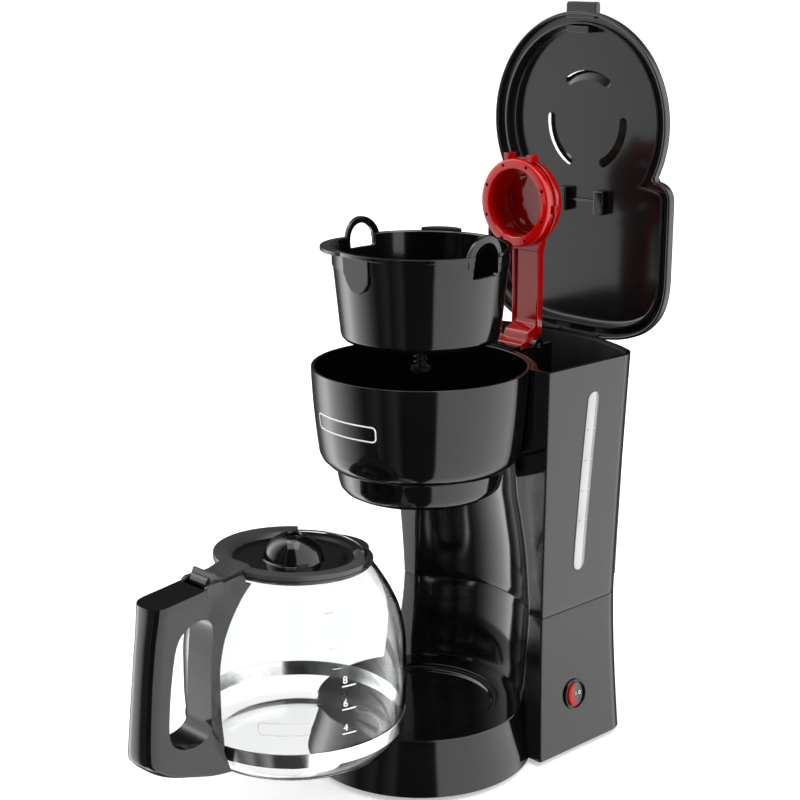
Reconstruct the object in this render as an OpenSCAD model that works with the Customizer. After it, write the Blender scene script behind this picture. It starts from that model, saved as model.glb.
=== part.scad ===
// Drip coffee maker: a waisted housing with a round brew bowl, a hinged lid, a swinging shower
// arm, a lift-out basket and a glass carafe. +Z up, front -Y, origin on the bowl axis at the counter.

/* [Housing] */
// Height of the bowl and housing rim above the counter
rim_h = 300; // [297:1:303]
// Height of the parting line between base and upper housing
seam_h = 110; // [106:1:114]
// Half width of the side panels at their front edge, at the rim
side_x = 84; // [82:0.5:86]
// How far the waist pulls in at the parting line
waist_in = 13; // [8:0.5:14]
// Radius of the rear wall about the bowl axis
rear_r = 160; // [158:0.5:162]
// Wall thickness of the moulded shells
wall = 2.5; // [2:0.1:3]

/* [Base] */
// Radius of the base drum at its foot
base_r = 83.7; // [82:0.1:86]
// Radius of the warming plate
plate_r = 57; // [55:0.5:59]

/* [Brew head] */
// Radius of the bowl at its rim
bowl_r = 78; // [76:0.5:79]
// Radius of the basket flange
basket_r = 64; // [62:0.5:65]
// How far the basket stands above its seat at rest
basket_lift = 93.7; // [80:0.1:95]
// Radius of the round front of the lid
lid_r = 82; // [81:0.5:84]

/* [Carafe] */
// Radius of the glass at its widest
glass_r = 76.6; // [74:0.1:77]
// How far the carafe stands in front of its seat at rest
carafe_out = 123; // [100:1:140]

/* [Hidden] */
$fn = 96;
gap = 0.3;               // room between pieces that must not touch
tank_wall = 2;
foot_h = 4;

// waist: how far the side panels stand in from their rim position, by height
waist_power = 1.33;
waist_power_low = 1.6;
front_y = 42;            // wing plane at the rim
flare = 2.06;            // degrees that the side panels open towards the rear
corner_r = 20;           // rounding of the rear corners
corner_x = 67.1;
corner_y = sqrt(pow(rear_r - corner_r, 2) - pow(corner_x, 2));
rear_half_w = corner_x + corner_r;
function waist(z) = z > seam_h
    ? waist_in * (1 - pow((z - seam_h) / (rim_h - seam_h), waist_power))
    : waist_in * (1 - pow((seam_h - max(z, foot_h)) / (seam_h - foot_h), waist_power_low));
waist_step = 10;
function steps(z0, z1, dz) = let (n = ceil((z1 - z0) / dz)) [for (i = [0:n]) z0 + (z1 - z0) * i / n];

// bowl: outer radius by height, and the step ring under it
bowl_low = 232;
ring_z = 207;
ring_top = 229;
ring_r = 60.5;
bowl_profile = [[bowl_low, 68.6], [234, 70.8], [238, 72.6], [245, 73.5], [260, 75.3],
    [274.5, 76.7], [294, 77.9], [rim_h, bowl_r]];
// column recess behind the carafe: radius by height
recess = [[0, 73.6], [46, 74.4], [55, 76.6], [96, 79.5], [seam_h, 80], [160, 76.5], [200, 70], [226, 68]];

// lid hinge
hinge_y = 163;
hinge_z = 295.5;
hinge_r = 1.6;
knuckle_r = 3.4;
lid_rim_z = rim_h + 0.4;
lid_side = 88.5;
lid_rear_y = 164;
lid_rear_start = 102;
lid_rear_power = 3;
lid_corner_r = 14;
lid_neck = 38;

// shower arm
arm_y = 107.5;
arm_z = rim_h - 1;
arm_len = 105.5;
arm_pin_r = 2;
ring_hole_r = 27;
ring_out_r = 33;

// basket, drawn at its seat and lifted to rest
basket_rim = 292;
basket_low = 226.3;
basket_foot_r = 56;

// valve under the basket
valve_stem_r = 2.5;

// carafe
carafe_z = 53.5;
lid_pin_y = -78;
lid_pin_z = 137;
pin_r = 1.5;

// switch: place on the right panel and its outward tilt
switch_y = 86;
switch_z = 43.4;
switch_tilt = 81.6;
switch_x = side_x - waist(switch_z) + tan(flare) * (switch_y - front_y) + 0.3;

run = 0.05;              // radial clearance of a running pin

// ---- helpers -----------------------------------------------------------------------------

// points along an arc, both ends included
function arc_pts(cx, cy, r, a0, a1, n) = [for (i = [0:n])
    let (a = a0 + (a1 - a0) * i / n) [cx + r * cos(a), cy + r * sin(a)]];

// a rod or tube swept along points, as one polyhedron; ref is a direction never along the route
function unit(v) = v / norm(v);
function tangent(p, i) = unit(p[min(i + 1, len(p) - 1)] - p[max(i - 1, 0)]);
function rings_along(p, r, ref, sides) = [for (i = [0:len(p) - 1])
    let (t = tangent(p, i), u = unit(cross(t, ref)), v = cross(t, u))
    for (k = [0:sides - 1]) p[i] + r * (cos(360 * k / sides) * u + sin(360 * k / sides) * v)];
function skin_a(n, m) = [for (i = [0:n - 2], k = [0:m - 1])
    [i * m + k, (i + 1) * m + (k + 1) % m, i * m + (k + 1) % m]];
function skin_b(n, m) = [for (i = [0:n - 2], k = [0:m - 1])
    [i * m + k, (i + 1) * m + k, (i + 1) * m + (k + 1) % m]];
module sweep(points, r, ref, sides = 10) {
    n = len(points);
    polyhedron(points = rings_along(points, r, ref, sides),
        faces = concat(skin_a(n, sides), skin_b(n, sides),
            [[for (k = [0:sides - 1]) k], [for (k = [sides - 1:-1:0]) (n - 1) * sides + k]]));
}
module tube(points, r, bore, ref, sides = 10) {
    n = len(points);
    m = sides;
    b = n * m;
    e = (n - 1) * m;
    inside = [for (f = concat(skin_a(n, m), skin_b(n, m))) [b + f[0], b + f[2], b + f[1]]];
    polyhedron(points = concat(rings_along(points, r, ref, m), rings_along(points, bore, ref, m)),
        faces = concat(skin_a(n, m), skin_b(n, m), inside,
            [for (k = [0:m - 1]) [k, (k + 1) % m, b + (k + 1) % m]],
            [for (k = [0:m - 1]) [k, b + (k + 1) % m, b + k]],
            [for (k = [0:m - 1]) [e + k, b + e + (k + 1) % m, e + (k + 1) % m]],
            [for (k = [0:m - 1]) [e + k, b + e + k, b + e + (k + 1) % m]]));
}

// walls between loops of points that all have the same count
module loft(loops) {
    m = len(loops[0]);
    n = len(loops);
    polyhedron(points = [for (l = loops) each l],
        faces = concat([[for (k = [0:m - 1]) k]], [[for (k = [m - 1:-1:0]) (n - 1) * m + k]],
            [for (i = [0:n - 2], k = [0:m - 1])
                [i * m + k, (i + 1) * m + (k + 1) % m, i * m + (k + 1) % m]],
            [for (i = [0:n - 2], k = [0:m - 1])
                [i * m + k, (i + 1) * m + k, (i + 1) * m + (k + 1) % m]]));
}

// a cupped shell: loops up the outside from the rim, then loops up the inside from the rim
module cup_loft(outer, inner) {
    loops = concat(outer, inner);
    m = len(loops[0]);
    a = len(outer);
    n = a + len(inner);
    polyhedron(points = [for (l = loops) each l],
        faces = concat(
            [[for (k = [m - 1:-1:0]) (a - 1) * m + k]], [[for (k = [0:m - 1]) (n - 1) * m + k]],
            [for (i = [0:a - 2], k = [0:m - 1])
                [i * m + k, (i + 1) * m + (k + 1) % m, i * m + (k + 1) % m]],
            [for (i = [0:a - 2], k = [0:m - 1])
                [i * m + k, (i + 1) * m + k, (i + 1) * m + (k + 1) % m]],
            [for (i = [a:n - 2], k = [0:m - 1])
                [i * m + k, i * m + (k + 1) % m, (i + 1) * m + (k + 1) % m]],
            [for (i = [a:n - 2], k = [0:m - 1])
                [i * m + k, (i + 1) * m + (k + 1) % m, (i + 1) * m + k]],
            [for (k = [0:m - 1]) [k, (k + 1) % m, a * m + (k + 1) % m]],
            [for (k = [0:m - 1]) [k, a * m + (k + 1) % m, a * m + k]]));
}

module ring(r_out, r_in, h) {
    difference() {
        cylinder(r = r_out, h = h);
        translate([0, 0, -1]) cylinder(r = r_in, h = h + 2);
    }
}

// a pin or bore along X, centred
module along_x(r, length) {
    rotate([0, 90, 0]) cylinder(r = r, h = length, center = true);
}

module both_sides() {
    children();
    mirror([1, 0, 0]) children();
}

module rounded_rect(w, h, r) {
    square([w - 2 * r, h], center = true);
    square([w, h - 2 * r], center = true);
    for (x = [-1, 1], y = [-1, 1]) translate([x * (w / 2 - r), y * (h / 2 - r)]) circle(r = r);
}

// plan of the column at the rim, t inside its outer wall
module column_plan(t) {
    turn = atan2(corner_y, corner_x);
    polygon(concat([[-(rear_half_w - t), 20], [rear_half_w - t, 20]],
        arc_pts(corner_x, corner_y, corner_r - t, 0, turn, 8),
        arc_pts(0, 0, rear_r - t, turn + 2.5, 177.5 - turn, 22),
        arc_pts(-corner_x, corner_y, corner_r - t, 180 - turn, 180, 8)));
}

// everything inside the waisted side panels
module side_limits(t, z0, z1) {
    zs = steps(z0, z1, waist_step);
    edge = [for (z = zs) [side_x - waist(z) - t, z]];
    both_sides() translate([0, front_y, 0]) rotate([0, 0, -flare]) translate([0, 150, 0])
        rotate([90, 0, 0]) linear_extrude(height = 200)
            polygon(concat([[-20, z0]], edge, [[-20, z1]]));
}

// everything behind the wing planes
module front_limit(t, z0, z1) {
    zs = steps(z0, z1, waist_step);
    translate([-100, 0, 0]) rotate([90, 0, 90]) linear_extrude(height = 200)
        polygon(concat([[200, z0]], [for (z = zs) [front_y + waist(z) + t, z]], [[200, z1]]));
}

// the round hollow at the column's front, for carafe and bowl
module front_hollow(t) {
    low = [for (p = recess) [p[1] + t, p[0]]];
    high = [for (p = bowl_profile) [p[1] + gap / 2 + t, p[0]]];
    rotate_extrude() polygon(concat([[0, -2]], [[recess[0][1] + t, -2]], low,
        [[high[0][0], 229]], high, [[bowl_r + gap / 2 + t, rim_h + 5], [0, rim_h + 5]]));
}

module column_mass(t, z0, z1) {
    difference() {
        intersection() {
            translate([0, 0, z0]) linear_extrude(height = z1 - z0) column_plan(t);
            side_limits(t, z0, z1);
            front_limit(t, z0, z1);
        }
        front_hollow(t);
    }
}

// ---- housing -----------------------------------------------------------------------------

window_y = 92.5;         // middle of the water window on the +X panel
window_w = 12;
window_low = 140;
window_high = 278;
module window_slot(w, depth) {
    translate([side_x - waist_in - 12, window_y, 0]) rotate([90, 0, 90])
        linear_extrude(height = depth) {
            translate([-w / 2, window_low + w / 2])
                square([w, window_high - window_low - w]);
            translate([0, window_low + w / 2]) circle(r = w / 2);
            translate([0, window_high - w / 2]) circle(r = w / 2);
        }
}

lug_x = 27.2;            // inner face of each hinge lug
lug_w = 6;
module upper_housing() color([0.05, 0.05, 0.055]) difference() {
    union() {
        difference() {
            column_mass(0, seam_h, rim_h);
            column_mass(wall, seam_h - 1, rim_h + 1);
        }
        both_sides() translate([lug_x, 0, 0]) difference() {
            union() {
                translate([0, hinge_y, hinge_z]) rotate([0, 90, 0]) cylinder(r = 4, h = lug_w);
                translate([0, 155.6, 286]) cube([lug_w, 9, hinge_z - 286]);
            }
            translate([-1, 163.6, 280]) cube([lug_w + 2, 6, 7]);
        }
    }
    translate([0, hinge_y, hinge_z]) along_x(hinge_r, 80);
    both_sides() translate([11.5, hinge_y, hinge_z]) rotate([0, 90, 0])
        cylinder(r = knuckle_r + 0.8, h = lug_x - 11.7);
    window_slot(window_w, 60);
}

module reservoir_tank() color([0.08, 0.08, 0.085]) difference() {
    column_mass(wall + gap, 124, rim_h - 1.5);
    column_mass(wall + gap + tank_wall, 124 + tank_wall, rim_h + 1);
    window_slot(window_w, 60);
    translate([-18, 100, 120]) cylinder(r = 5, h = 10);
    translate([0, arm_y, 120]) cylinder(r = 6.2, h = 10);
}

// clear strip that fills the slot, curved with the panel, with a flange behind it
module water_window() color([0.93, 0.94, 0.95, 0.8]) intersection() {
    window_slot(window_w - 0.2, 60);
    difference() {
        column_mass(0.4, seam_h, rim_h);
        column_mass(wall + gap + tank_wall, seam_h, rim_h + 1);
    }
}

module brew_bowl() color([0.05, 0.05, 0.055]) {
    inner = [for (p = bowl_profile) [p[1] - wall, p[0]]];
    rotate_extrude() polygon(concat(
        [[12, ring_z], [50, ring_z], [56.5, 210], [58.5, 214], [ring_r, 226], [ring_r + 0.6, ring_top - 0.6],
         [65, ring_top]],
        [for (p = bowl_profile) [p[1], p[0]]],
        [for (i = [len(inner) - 1:-1:1]) inner[i]],
        [[64, ring_top + wall + 0.5], [ring_r - wall, ring_top + wall - 0.5], [ring_r - wall, 226],
         [56, 214], [54, 211], [49, ring_z + wall], [12, ring_z + wall]]));
    // ribs that carry the basket's foot
    for (a = [45:90:315]) rotate([0, 0, a]) translate([46, -1.5, ring_z + 1])
        cube([9, 3, basket_low - gap - ring_z - 1]);
}

badge_span = 22.3;
badge_z = 267;
badge_h = 10.6;
// blank raised frame on the bowl front
module badge_plate() color([0.85, 0.85, 0.86]) intersection() {
    rotate_extrude() polygon([[75.7, 255], [77.6, 255], [78.4, 280], [76.9, 280]]);
    difference() {
        translate([0, -60, badge_z]) rotate([90, 0, 0]) linear_extrude(height = 30)
            rounded_rect(2 * 75.8 * sin(badge_span), badge_h, 3.2);
        translate([0, -50, badge_z]) rotate([90, 0, 0]) linear_extrude(height = 50)
            rounded_rect(2 * 75.8 * sin(badge_span) - 2.4, badge_h - 2.4, 2.2);
        rotate_extrude() polygon([[0, 254], [75.05, 254], [77.3, 281], [0, 281]]);
    }
}

// ---- base --------------------------------------------------------------------------------

drum_top = 44.7;
drum_wall_r = 73;
lip_r = 76.3;
well_r = plate_r + 1.6;
module drum_mass(t, z0) {
    rotate_extrude() polygon([[0, z0], [base_r - t, z0], [base_r - 1.6 - t, 12],
        [drum_wall_r + 3.4 - t, 30], [drum_wall_r - t, 43.3 - t], [0, 43.3 - t]]);
}
module base_housing() color([0.05, 0.05, 0.055]) difference() {
    union() {
        difference() {
            drum_mass(0, foot_h);
            drum_mass(wall, foot_h - 1);
            translate([0, 0, 35]) cylinder(r = well_r, h = 20);
        }
        difference() {
            rotate_extrude() polygon([[0, 42], [drum_wall_r - 0.5, 42], [lip_r, 43.3],
                [lip_r, drum_top - 0.4], [lip_r - 0.6, drum_top], [0, drum_top]]);
            translate([0, 0, 35]) cylinder(r = well_r, h = 20);
        }
        difference() {
            column_mass(0, foot_h, seam_h);
            column_mass(wall, foot_h - 1, seam_h + 1);
        }
    }
    // the drum and the column are one space inside
    translate([-68.5, 40, foot_h - 2]) cube([137, 60, 38.4]);
    translate([-80.5, 45.2, foot_h - 2]) cube([161, 45, 4.3]);
    at_switch() cylinder(r = 10.6, h = 12, center = true);
    translate([-30, 150, 20]) rotate([-90, 0, 0]) cylinder(r = 6.5, h = 20);
}

cover_in = wall + 1.4;   // how far the cover's edge stands inside the housing's outer face
cover_front_x = side_x - cover_in - 0.2;
cover_front_y = 45.8;
module cover_plan() {
    turn = atan2(corner_y, corner_x);
    r = corner_r - cover_in;
    circle(r = base_r - wall - 2.4);
    translate([-62, 30]) square([124, 30]);
    polygon(concat([[-cover_front_x, cover_front_y], [cover_front_x, cover_front_y]],
        arc_pts(corner_x, corner_y, r, 0, turn, 6),
        arc_pts(0, 0, rear_r - cover_in, turn + 4, 176 - turn, 14),
        arc_pts(-corner_x, corner_y, r, 180 - turn, 180, 6)));
}
module bottom_cover() color([0.07, 0.07, 0.07]) translate([0, 0, foot_h])
    linear_extrude(height = 2) difference() {
        cover_plan();
        for (p = screw_spots) translate([p[0], p[1]]) circle(r = 1.6);
    }
screw_spots = [[-62, 20], [62, 20], [0, -68], [-55, 128], [55, 128]];
foot_spots = [[0, 0], [-44, -48], [44, -48], [-64, 112], [64, 112]];

module feet() color([0.03, 0.03, 0.03]) for (p = foot_spots)
    translate([p[0], p[1], 0]) rotate_extrude()
        polygon([[0, 0], [8, 0], [9, 1], [9, foot_h], [0, foot_h]]);

module cover_screws() color([0.6, 0.6, 0.62]) for (p = screw_spots) translate([p[0], p[1], 0])
    rotate_extrude() polygon([[0, 2.4], [3, 2.8], [3.2, foot_h], [1.6, foot_h], [1.6, 11], [0, 12]]);

module warming_plate() color([0.02, 0.02, 0.022]) rotate_extrude()
    polygon([[0, 40.1], [plate_r - 4, 40.1], [plate_r - 3, 42.2], [plate_r - 0.4, 42.4], [plate_r, 42],
        [plate_r, 40.6], [plate_r - 1.6, 39.8], [plate_r - 2, 38.6], [50, 38.6], [50, 38], [0, 38]]);

module plate_gasket() color([0.1, 0.1, 0.1]) rotate_extrude()
    polygon([[plate_r + 0.1, 39.6], [well_r + 3, 39.6], [well_r + 3, 40.7], [well_r - 0.1, 40.7],
        [well_r - 0.1, 42.6], [plate_r + 0.1, 42.6]]);

// ---- heating and plumbing ----------------------------------------------------------------

heater_z = 33;
heater_tube = 37;        // radius of the water channel's centre line
heater_rod = 45;         // radius of the heating rod's centre line
module heater_element() color([0.75, 0.75, 0.76]) {
    rotate([0, 0, 130]) rotate_extrude(angle = 280) difference() {
        union() {
            translate([heater_tube, heater_z]) circle(r = 4.4, $fn = 32);
            translate([heater_rod, heater_z]) circle(r = 3.4, $fn = 32);
            translate([heater_tube, heater_z - 1.5]) square([heater_rod - heater_tube, 3]);
        }
        translate([heater_tube, heater_z]) circle(r = 3, $fn = 32);
    }
}

bracket_x = 53;          // its two screw posts
bracket_w = 12;
bracket_drop = 6.9;      // underside below the heater's centre
module heater_bracket() color([0.7, 0.7, 0.72]) difference() {
    union() {
        translate([2 - bracket_x, -bracket_w / 2, heater_z - bracket_drop])
            cube([2 * bracket_x - 4, bracket_w, 2]);
        for (s = [-1, 1]) translate([s * bracket_x - 4, -bracket_w / 2, heater_z - bracket_drop])
            cube([8, bracket_w, bracket_drop + 4.5]);
    }
    for (s = [-1, 1]) translate([s * bracket_x, 0, 0]) cylinder(r = 1.6, h = 60);
}

// clipped against the plate's underside
module thermostat() color([0.8, 0.78, 0.7]) translate([0, -19, 0]) rotate_extrude()
    polygon([[0, 26], [8, 26], [8, 31], [10, 31], [10, 37.4], [0, 37.4]]);

module thermal_fuses() color([0.85, 0.85, 0.8]) for (x = [-14, 14])
    translate([x, 8, 35.8]) rotate([0, 90, 0]) cylinder(r = 1.7, h = 12, center = true);

bend = [for (a = [0:15:90]) [0, 90 + 10 * sin(a), heater_z + 10 - 10 * cos(a)]];
function side_step(pts, x) = [for (p = pts) p + [x, 0, 0]];
hose_r = 4.8;
hose_bore = 3;
// from the heater's end to the bend under the column, on side s
function hose_start(s) = [[s * 20.5, 31.2, heater_z], [s * 18.8, 34.2, heater_z], [s * 18.5, 40, heater_z]];
module inlet_hose() color([0.85, 0.83, 0.78])
    tube(concat(hose_start(-1), side_step(bend, -18.5), [[-18.3, 100, 70], [-18, 100, 108]]),
        hose_r, hose_bore, [1, 0, 0.01]);

module check_valve() color([0.9, 0.9, 0.88]) translate([-18, 100, 108.2]) rotate_extrude()
    polygon([[1.6, 0], [4.4, 0], [4.4, 3], [6.4, 4], [6.4, 12], [4.8, 15.6], [1.6, 15.6]]);

module riser_tube() color([0.85, 0.83, 0.78])
    tube(concat(hose_start(1), side_step(bend, 18.5),
        [[18, 100, 60], [16, 101, 76], [8, 104.5, 100], [2, arm_y - 0.6, 114], [0, arm_y, 122],
         [0, arm_y, 200], [0, arm_y, 284]]), hose_r, hose_bore, [1, 0.01, 0.01]);

module wire_harness() color([0.6, 0.1, 0.1]) for (k = [0:2])
    sweep([[44 - 5 * k, 92 + 4 * k, 32], [36 - 5 * k, 80, 24 - k], [30 - 6 * k, 60, 16 - k],
        [22 - 8 * k, 40, 13], [16 - 10 * k, 15, 13], [10 - 10 * k, -8, 15], [6 - 6 * k, -15, 20],
        [4 - 4 * k, -19, 24.8]], 1.1, [1, 0.02, 0], 8);

module cord_gland() color([0.03, 0.03, 0.03]) translate([-30, 0, 20]) rotate([-90, 0, 0])
    translate([0, 0, 151]) rotate_extrude()
        polygon([[3.6, 0], [6.4, 0], [6.4, 7.6], [9, 8.4], [8, 11.5], [3.6, 11.5]]);

// ---- switch ------------------------------------------------------------------------------

rocker_rest = -8;
module at_switch() translate([switch_x, switch_y, switch_z]) rotate([0, 0, -flare])
    rotate([0, switch_tilt, 0]) children();

module switch_bezel() color([0.06, 0.06, 0.065]) at_switch() rotate_extrude()
    polygon([[9.9, -9], [10.5, -9], [10.5, 0.1], [11.8, 0.1], [11.6, 1.2], [10.8, 1.7], [9.9, 1.2]]);

module switch_body() color([0.12, 0.12, 0.12]) at_switch() difference() {
    translate([0, 0, -20]) cylinder(r = 9.7, h = 15.4);
    translate([0, 0, -12]) cylinder(r = 7.6, h = 10);
}

module switch_rocker() color([0.75, 0.05, 0.04]) at_switch() rotate([rocker_rest, 0, 0]) {
    translate([0, 0, -1.2]) rotate_extrude() polygon([[0, -1.5], [9, -1.5], [9, 2.2], [8.2, 2.7], [0, 2.2]]);
    translate([0, 0, -6]) cylinder(r = 3, h = 4);
}

// ---- shower arm --------------------------------------------------------------------------

cheek_in = 14.6;         // inner faces of the two cheeks that hold the arm's pin
cheek_out = 18.6;
cradle_y = 84.5;         // front of the cradle
cradle_z = 276;          // its floor
cradle_deep = 38;
cradle_sheet = 2.4;
module arm_cradle() color([0.06, 0.06, 0.065]) difference() {
    union() {
        translate([-cheek_out, cradle_y, cradle_z]) cube([2 * cheek_out, cradle_deep, cradle_sheet]);
        translate([-cheek_out, cradle_y, cradle_z]) cube([2 * cheek_out, 2, rim_h + 1.8 - cradle_z]);
        // ledge that bridges to the bowl
        translate([-cheek_out, 79.6, rim_h + 0.1]) cube([2 * cheek_out, 6.9, 1.7]);
        both_sides() translate([cheek_in, cradle_y, cradle_z])
            cube([cheek_out - cheek_in, cradle_deep, arm_z - cradle_z]);
        both_sides() translate([cheek_in, arm_y, arm_z]) rotate([0, 90, 0])
            cylinder(r = 5, h = cheek_out - cheek_in);
    }
    translate([0, arm_y, arm_z]) along_x(arm_pin_r, 60);
    // the riser tube comes up through the floor
    translate([0, arm_y, cradle_z - 6]) cylinder(r = 5.6, h = 10);
}

module arm_pin() color([0.7, 0.7, 0.72]) translate([0, arm_y, arm_z]) along_x(arm_pin_r, 2 * cheek_out - 0.4);

// the arm stands up at rest; its ring swings down over the bowl
stem_half = 12.5;
stem_thick = 5.6;
hub_r = 5;
module shower_arm() color([0.75, 0.03, 0.03]) difference() {
    union() {
        translate([-stem_half, arm_y + hub_r, arm_z + 6])
            cube([2 * stem_half, stem_thick, arm_len - ring_out_r - 3]);
        translate([0, arm_y, arm_z]) along_x(hub_r, 2 * cheek_in - 1);
        translate([-stem_half, arm_y, arm_z]) cube([2 * stem_half, stem_thick, 12]);
        // foot that reaches forward over the bowl's edge
        translate([-stem_half + 1, arm_y - 12.6, arm_z - 4]) cube([2 * stem_half - 2, 13, 7.6]);
        // cup
        translate([0, arm_y + 11.5, arm_z + arm_len]) rotate([90, 0, 0]) cylinder(r = ring_out_r, h = 17);
        both_sides() translate([8, arm_y - 3, arm_z + arm_len + 29]) cube([5, 10, 6]);
    }
    translate([0, arm_y, arm_z]) along_x(arm_pin_r + run, 60);
    translate([0, arm_y + 9.5, arm_z + arm_len]) rotate([90, 0, 0]) cylinder(r = ring_hole_r, h = 30);
    // water inlet through the foot, then the cup's slots
    translate([0, arm_y - 6, arm_z]) rotate([90, 0, 0]) cylinder(r = 3.2, h = 10);
    for (a = [30:60:330]) translate([0, arm_y, arm_z + arm_len]) rotate([0, a, 0])
        translate([0, 15, 18]) rotate([90, 0, 0]) cylinder(r = 2, h = 10);
}

module shower_ring() color([0.85, 0.04, 0.03]) difference() {
    translate([0, arm_y - 5.6, arm_z + arm_len]) rotate([90, 0, 0]) cylinder(r = ring_out_r - 0.6, h = 4.4);
    translate([0, arm_y, arm_z + arm_len]) rotate([90, 0, 0]) cylinder(r = ring_hole_r - 2, h = 30);
    for (a = [22.5:45:337.5]) translate([0, arm_y, arm_z + arm_len]) rotate([0, a, 0])
        translate([0, 0, 29.4]) rotate([90, 0, 0]) cylinder(r = 1.3, h = 30);
}

// ---- lid ---------------------------------------------------------------------------------

// outline of the lid, t inside its edge, from the front centre round the +X side to the rear
arc_steps = 14;
function lid_half(t) = let (r = lid_r - t, neck = asin(min(1, (lid_neck - 3 + t) / r)),
        cr = max(lid_corner_r - t, 3))
    concat(arc_pts(0, 0, r, -90, neck, 2 * arc_steps),
        arc_pts(lid_side - t - cr, lid_neck + t + cr, cr, -90, 0, 5),
        [for (i = [0:arc_steps]) let (a = 90 * i / arc_steps)
            [(lid_side - t) * pow(cos(a), 2 / lid_rear_power),
             lid_rear_start + (lid_rear_y - lid_rear_start - t) * pow(sin(a), 2 / lid_rear_power)]]);
function lid_loop(t, z) = let (h = lid_half(t), n = len(h)) [
    for (i = [0:n - 1]) [h[i][0], h[i][1], z],
    for (i = [n - 2:-1:1]) [-h[i][0], h[i][1], z]];

// the lid is drawn shut and turned open about its hinge
module opened() translate([0, hinge_y, hinge_z]) rotate([-90, 0, 0])
    translate([0, -hinge_y, -hinge_z]) children();

lid_outer = [[0, 0], [0, 4.8], [2, 8.4], [6, 11.4], [12, 13.7], [20, 15.4]];
lid_inner = [[2.2, 0], [2.2, 5], [9, 5.2], [20, 11], [21.5, 12.2]];
slot_r_in = 31;
slot_r_out = 38;
cap_r = 54;        // the lid's centre is a disc of this radius, let into its crown
module lid_cap() translate([0, 0, lid_rim_z + 12.5]) linear_extrude(height = 2.6) difference() {
    circle(r = cap_r + 2);
    for (a = [-90, 30, 150]) polygon(concat(arc_pts(0, 0, slot_r_out, a - 32, a + 32, 10),
        arc_pts(0, 0, slot_r_in, a + 32, a - 32, 10)));
}
module lid_shell() color([0.05, 0.05, 0.055]) opened() difference() {
    union() {
        difference() {
            cup_loft([for (p = lid_outer) lid_loop(p[0], lid_rim_z + p[1])],
                [for (p = lid_inner) lid_loop(p[0], lid_rim_z + p[1])]);
            translate([0, 0, rim_h]) cylinder(r = cap_r, h = 40);
        }
        lid_cap();
        both_sides() translate([12.2, hinge_y, hinge_z]) rotate([0, 90, 0])
            cylinder(r = knuckle_r, h = lug_x - 12.6);
        both_sides() translate([12.2, hinge_y - 2.6, hinge_z]) cube([lug_x - 12.6, 3.4, 8]);
        translate([-13, -71, lid_rim_z + 2]) cube([20, 5, 9.6]);
        translate([-14, -88.5, lid_rim_z + 1.5]) cube([28, 14, 5.5]);
    }
    translate([0, hinge_y, hinge_z]) along_x(hinge_r + run, 80);
}

module lid_clips() color([0.04, 0.04, 0.045]) opened() {
    both_sides() translate([13.6, 51, lid_rim_z + 4.8]) cube([9, 18, 7.2]);
    translate([0, 60, lid_rim_z + 11.1]) along_x(0.9, 30);
}

module lid_hinge_pins() color([0.7, 0.7, 0.72]) both_sides()
    translate([12.6, hinge_y, hinge_z]) rotate([0, 90, 0]) cylinder(r = hinge_r, h = lug_x + lug_w - 13);

// ---- basket and its valve, drawn seated and lifted ----------------------------------------

loop_half = 13.5;
module basket() color([0.05, 0.05, 0.055]) translate([0, 0, basket_lift]) difference() {
    union() {
        rotate_extrude() polygon([[4, basket_low], [basket_foot_r, basket_low], [62, basket_rim - 3],
            [basket_r, basket_rim - 3], [basket_r, basket_rim], [59.8, basket_rim],
            [59.8, basket_rim - 6], [54, basket_low + 2.2], [4, basket_low + 2.2]]);
        // front tab
        intersection() {
            translate([0, 0, basket_rim - 2.6]) cylinder(r = 70, h = 2.6);
            translate([-32, -80, basket_rim - 3]) cube([64, 20, 3.2]);
            difference() {
                cylinder(r = 100, h = 400);
                cylinder(r = 62, h = 400);
            }
        }
        // finger loops, curved with the wall
        intersection() {
            rotate_extrude() polygon([[60.2, basket_rim - 18], [62.8, basket_rim - 18],
                [62.8, basket_rim + 18], [60.2, basket_rim + 18]]);
            translate([-80, 0, basket_rim]) rotate([90, 0, 90]) linear_extrude(height = 160) difference() {
                union() {
                    translate([0, 3]) circle(r = loop_half);
                    translate([-loop_half, -3]) square([2 * loop_half, 6]);
                }
                translate([0, 3]) circle(r = loop_half - 2.4);
            }
        }
        // ribs that hold the filter off the wall
        for (a = [0:30:330]) rotate([0, 0, a]) translate([53.4, -0.8, basket_low + 1])
            cube([2.6, 1.6, 40]);
    }
    // window under each loop
    translate([0, 0, basket_rim + 2]) rotate([0, 90, 0]) cylinder(r = loop_half - 2.4, h = 200, center = true);
    translate([-100, -loop_half + 2.4, basket_rim - 13]) cube([200, 2 * loop_half - 4.8, 14]);
}

module drip_valve() color([0.75, 0.75, 0.74]) translate([0, 0, basket_lift]) rotate_extrude()
    polygon([[0, 199], [5, 200], [7.5, 202.5], [7.5, 204.5], [valve_stem_r, 205], [valve_stem_r, 233],
        [0, 233]]);

module valve_seal() color([0.55, 0.1, 0.08]) translate([0, 0, basket_lift + basket_low + 2.3])
    ring(9, valve_stem_r, 2);

spring_turns = 5;
module valve_spring() color([0.75, 0.75, 0.77]) translate([0, 0, basket_lift + 205.8])
    sweep([for (i = [0:12 * spring_turns]) [4.6 * cos(30 * i), 4.6 * sin(30 * i), 19.2 * i / (12 * spring_turns)]],
        0.5, [0, 0, 1], 6);

// ---- carafe ------------------------------------------------------------------------------

glass_profile = [[60, 0], [66.5, 0.8], [69.5, 3.5], [72.3, 8.5], [74.2, 15], [75.6, 25], [glass_r, 38],
    [glass_r + 0.1, 49], [glass_r, 60], [76.3, 73], [74.9, 84], [72.1, 95.5], [68.9, 103],
    [65.3, 110], [58.5, 121], [53.4, 127.4], [50.6, 130], [50, 132]];
glass_wall = 2.2;
module at_carafe() translate([0, -carafe_out, carafe_z]) children();

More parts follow.
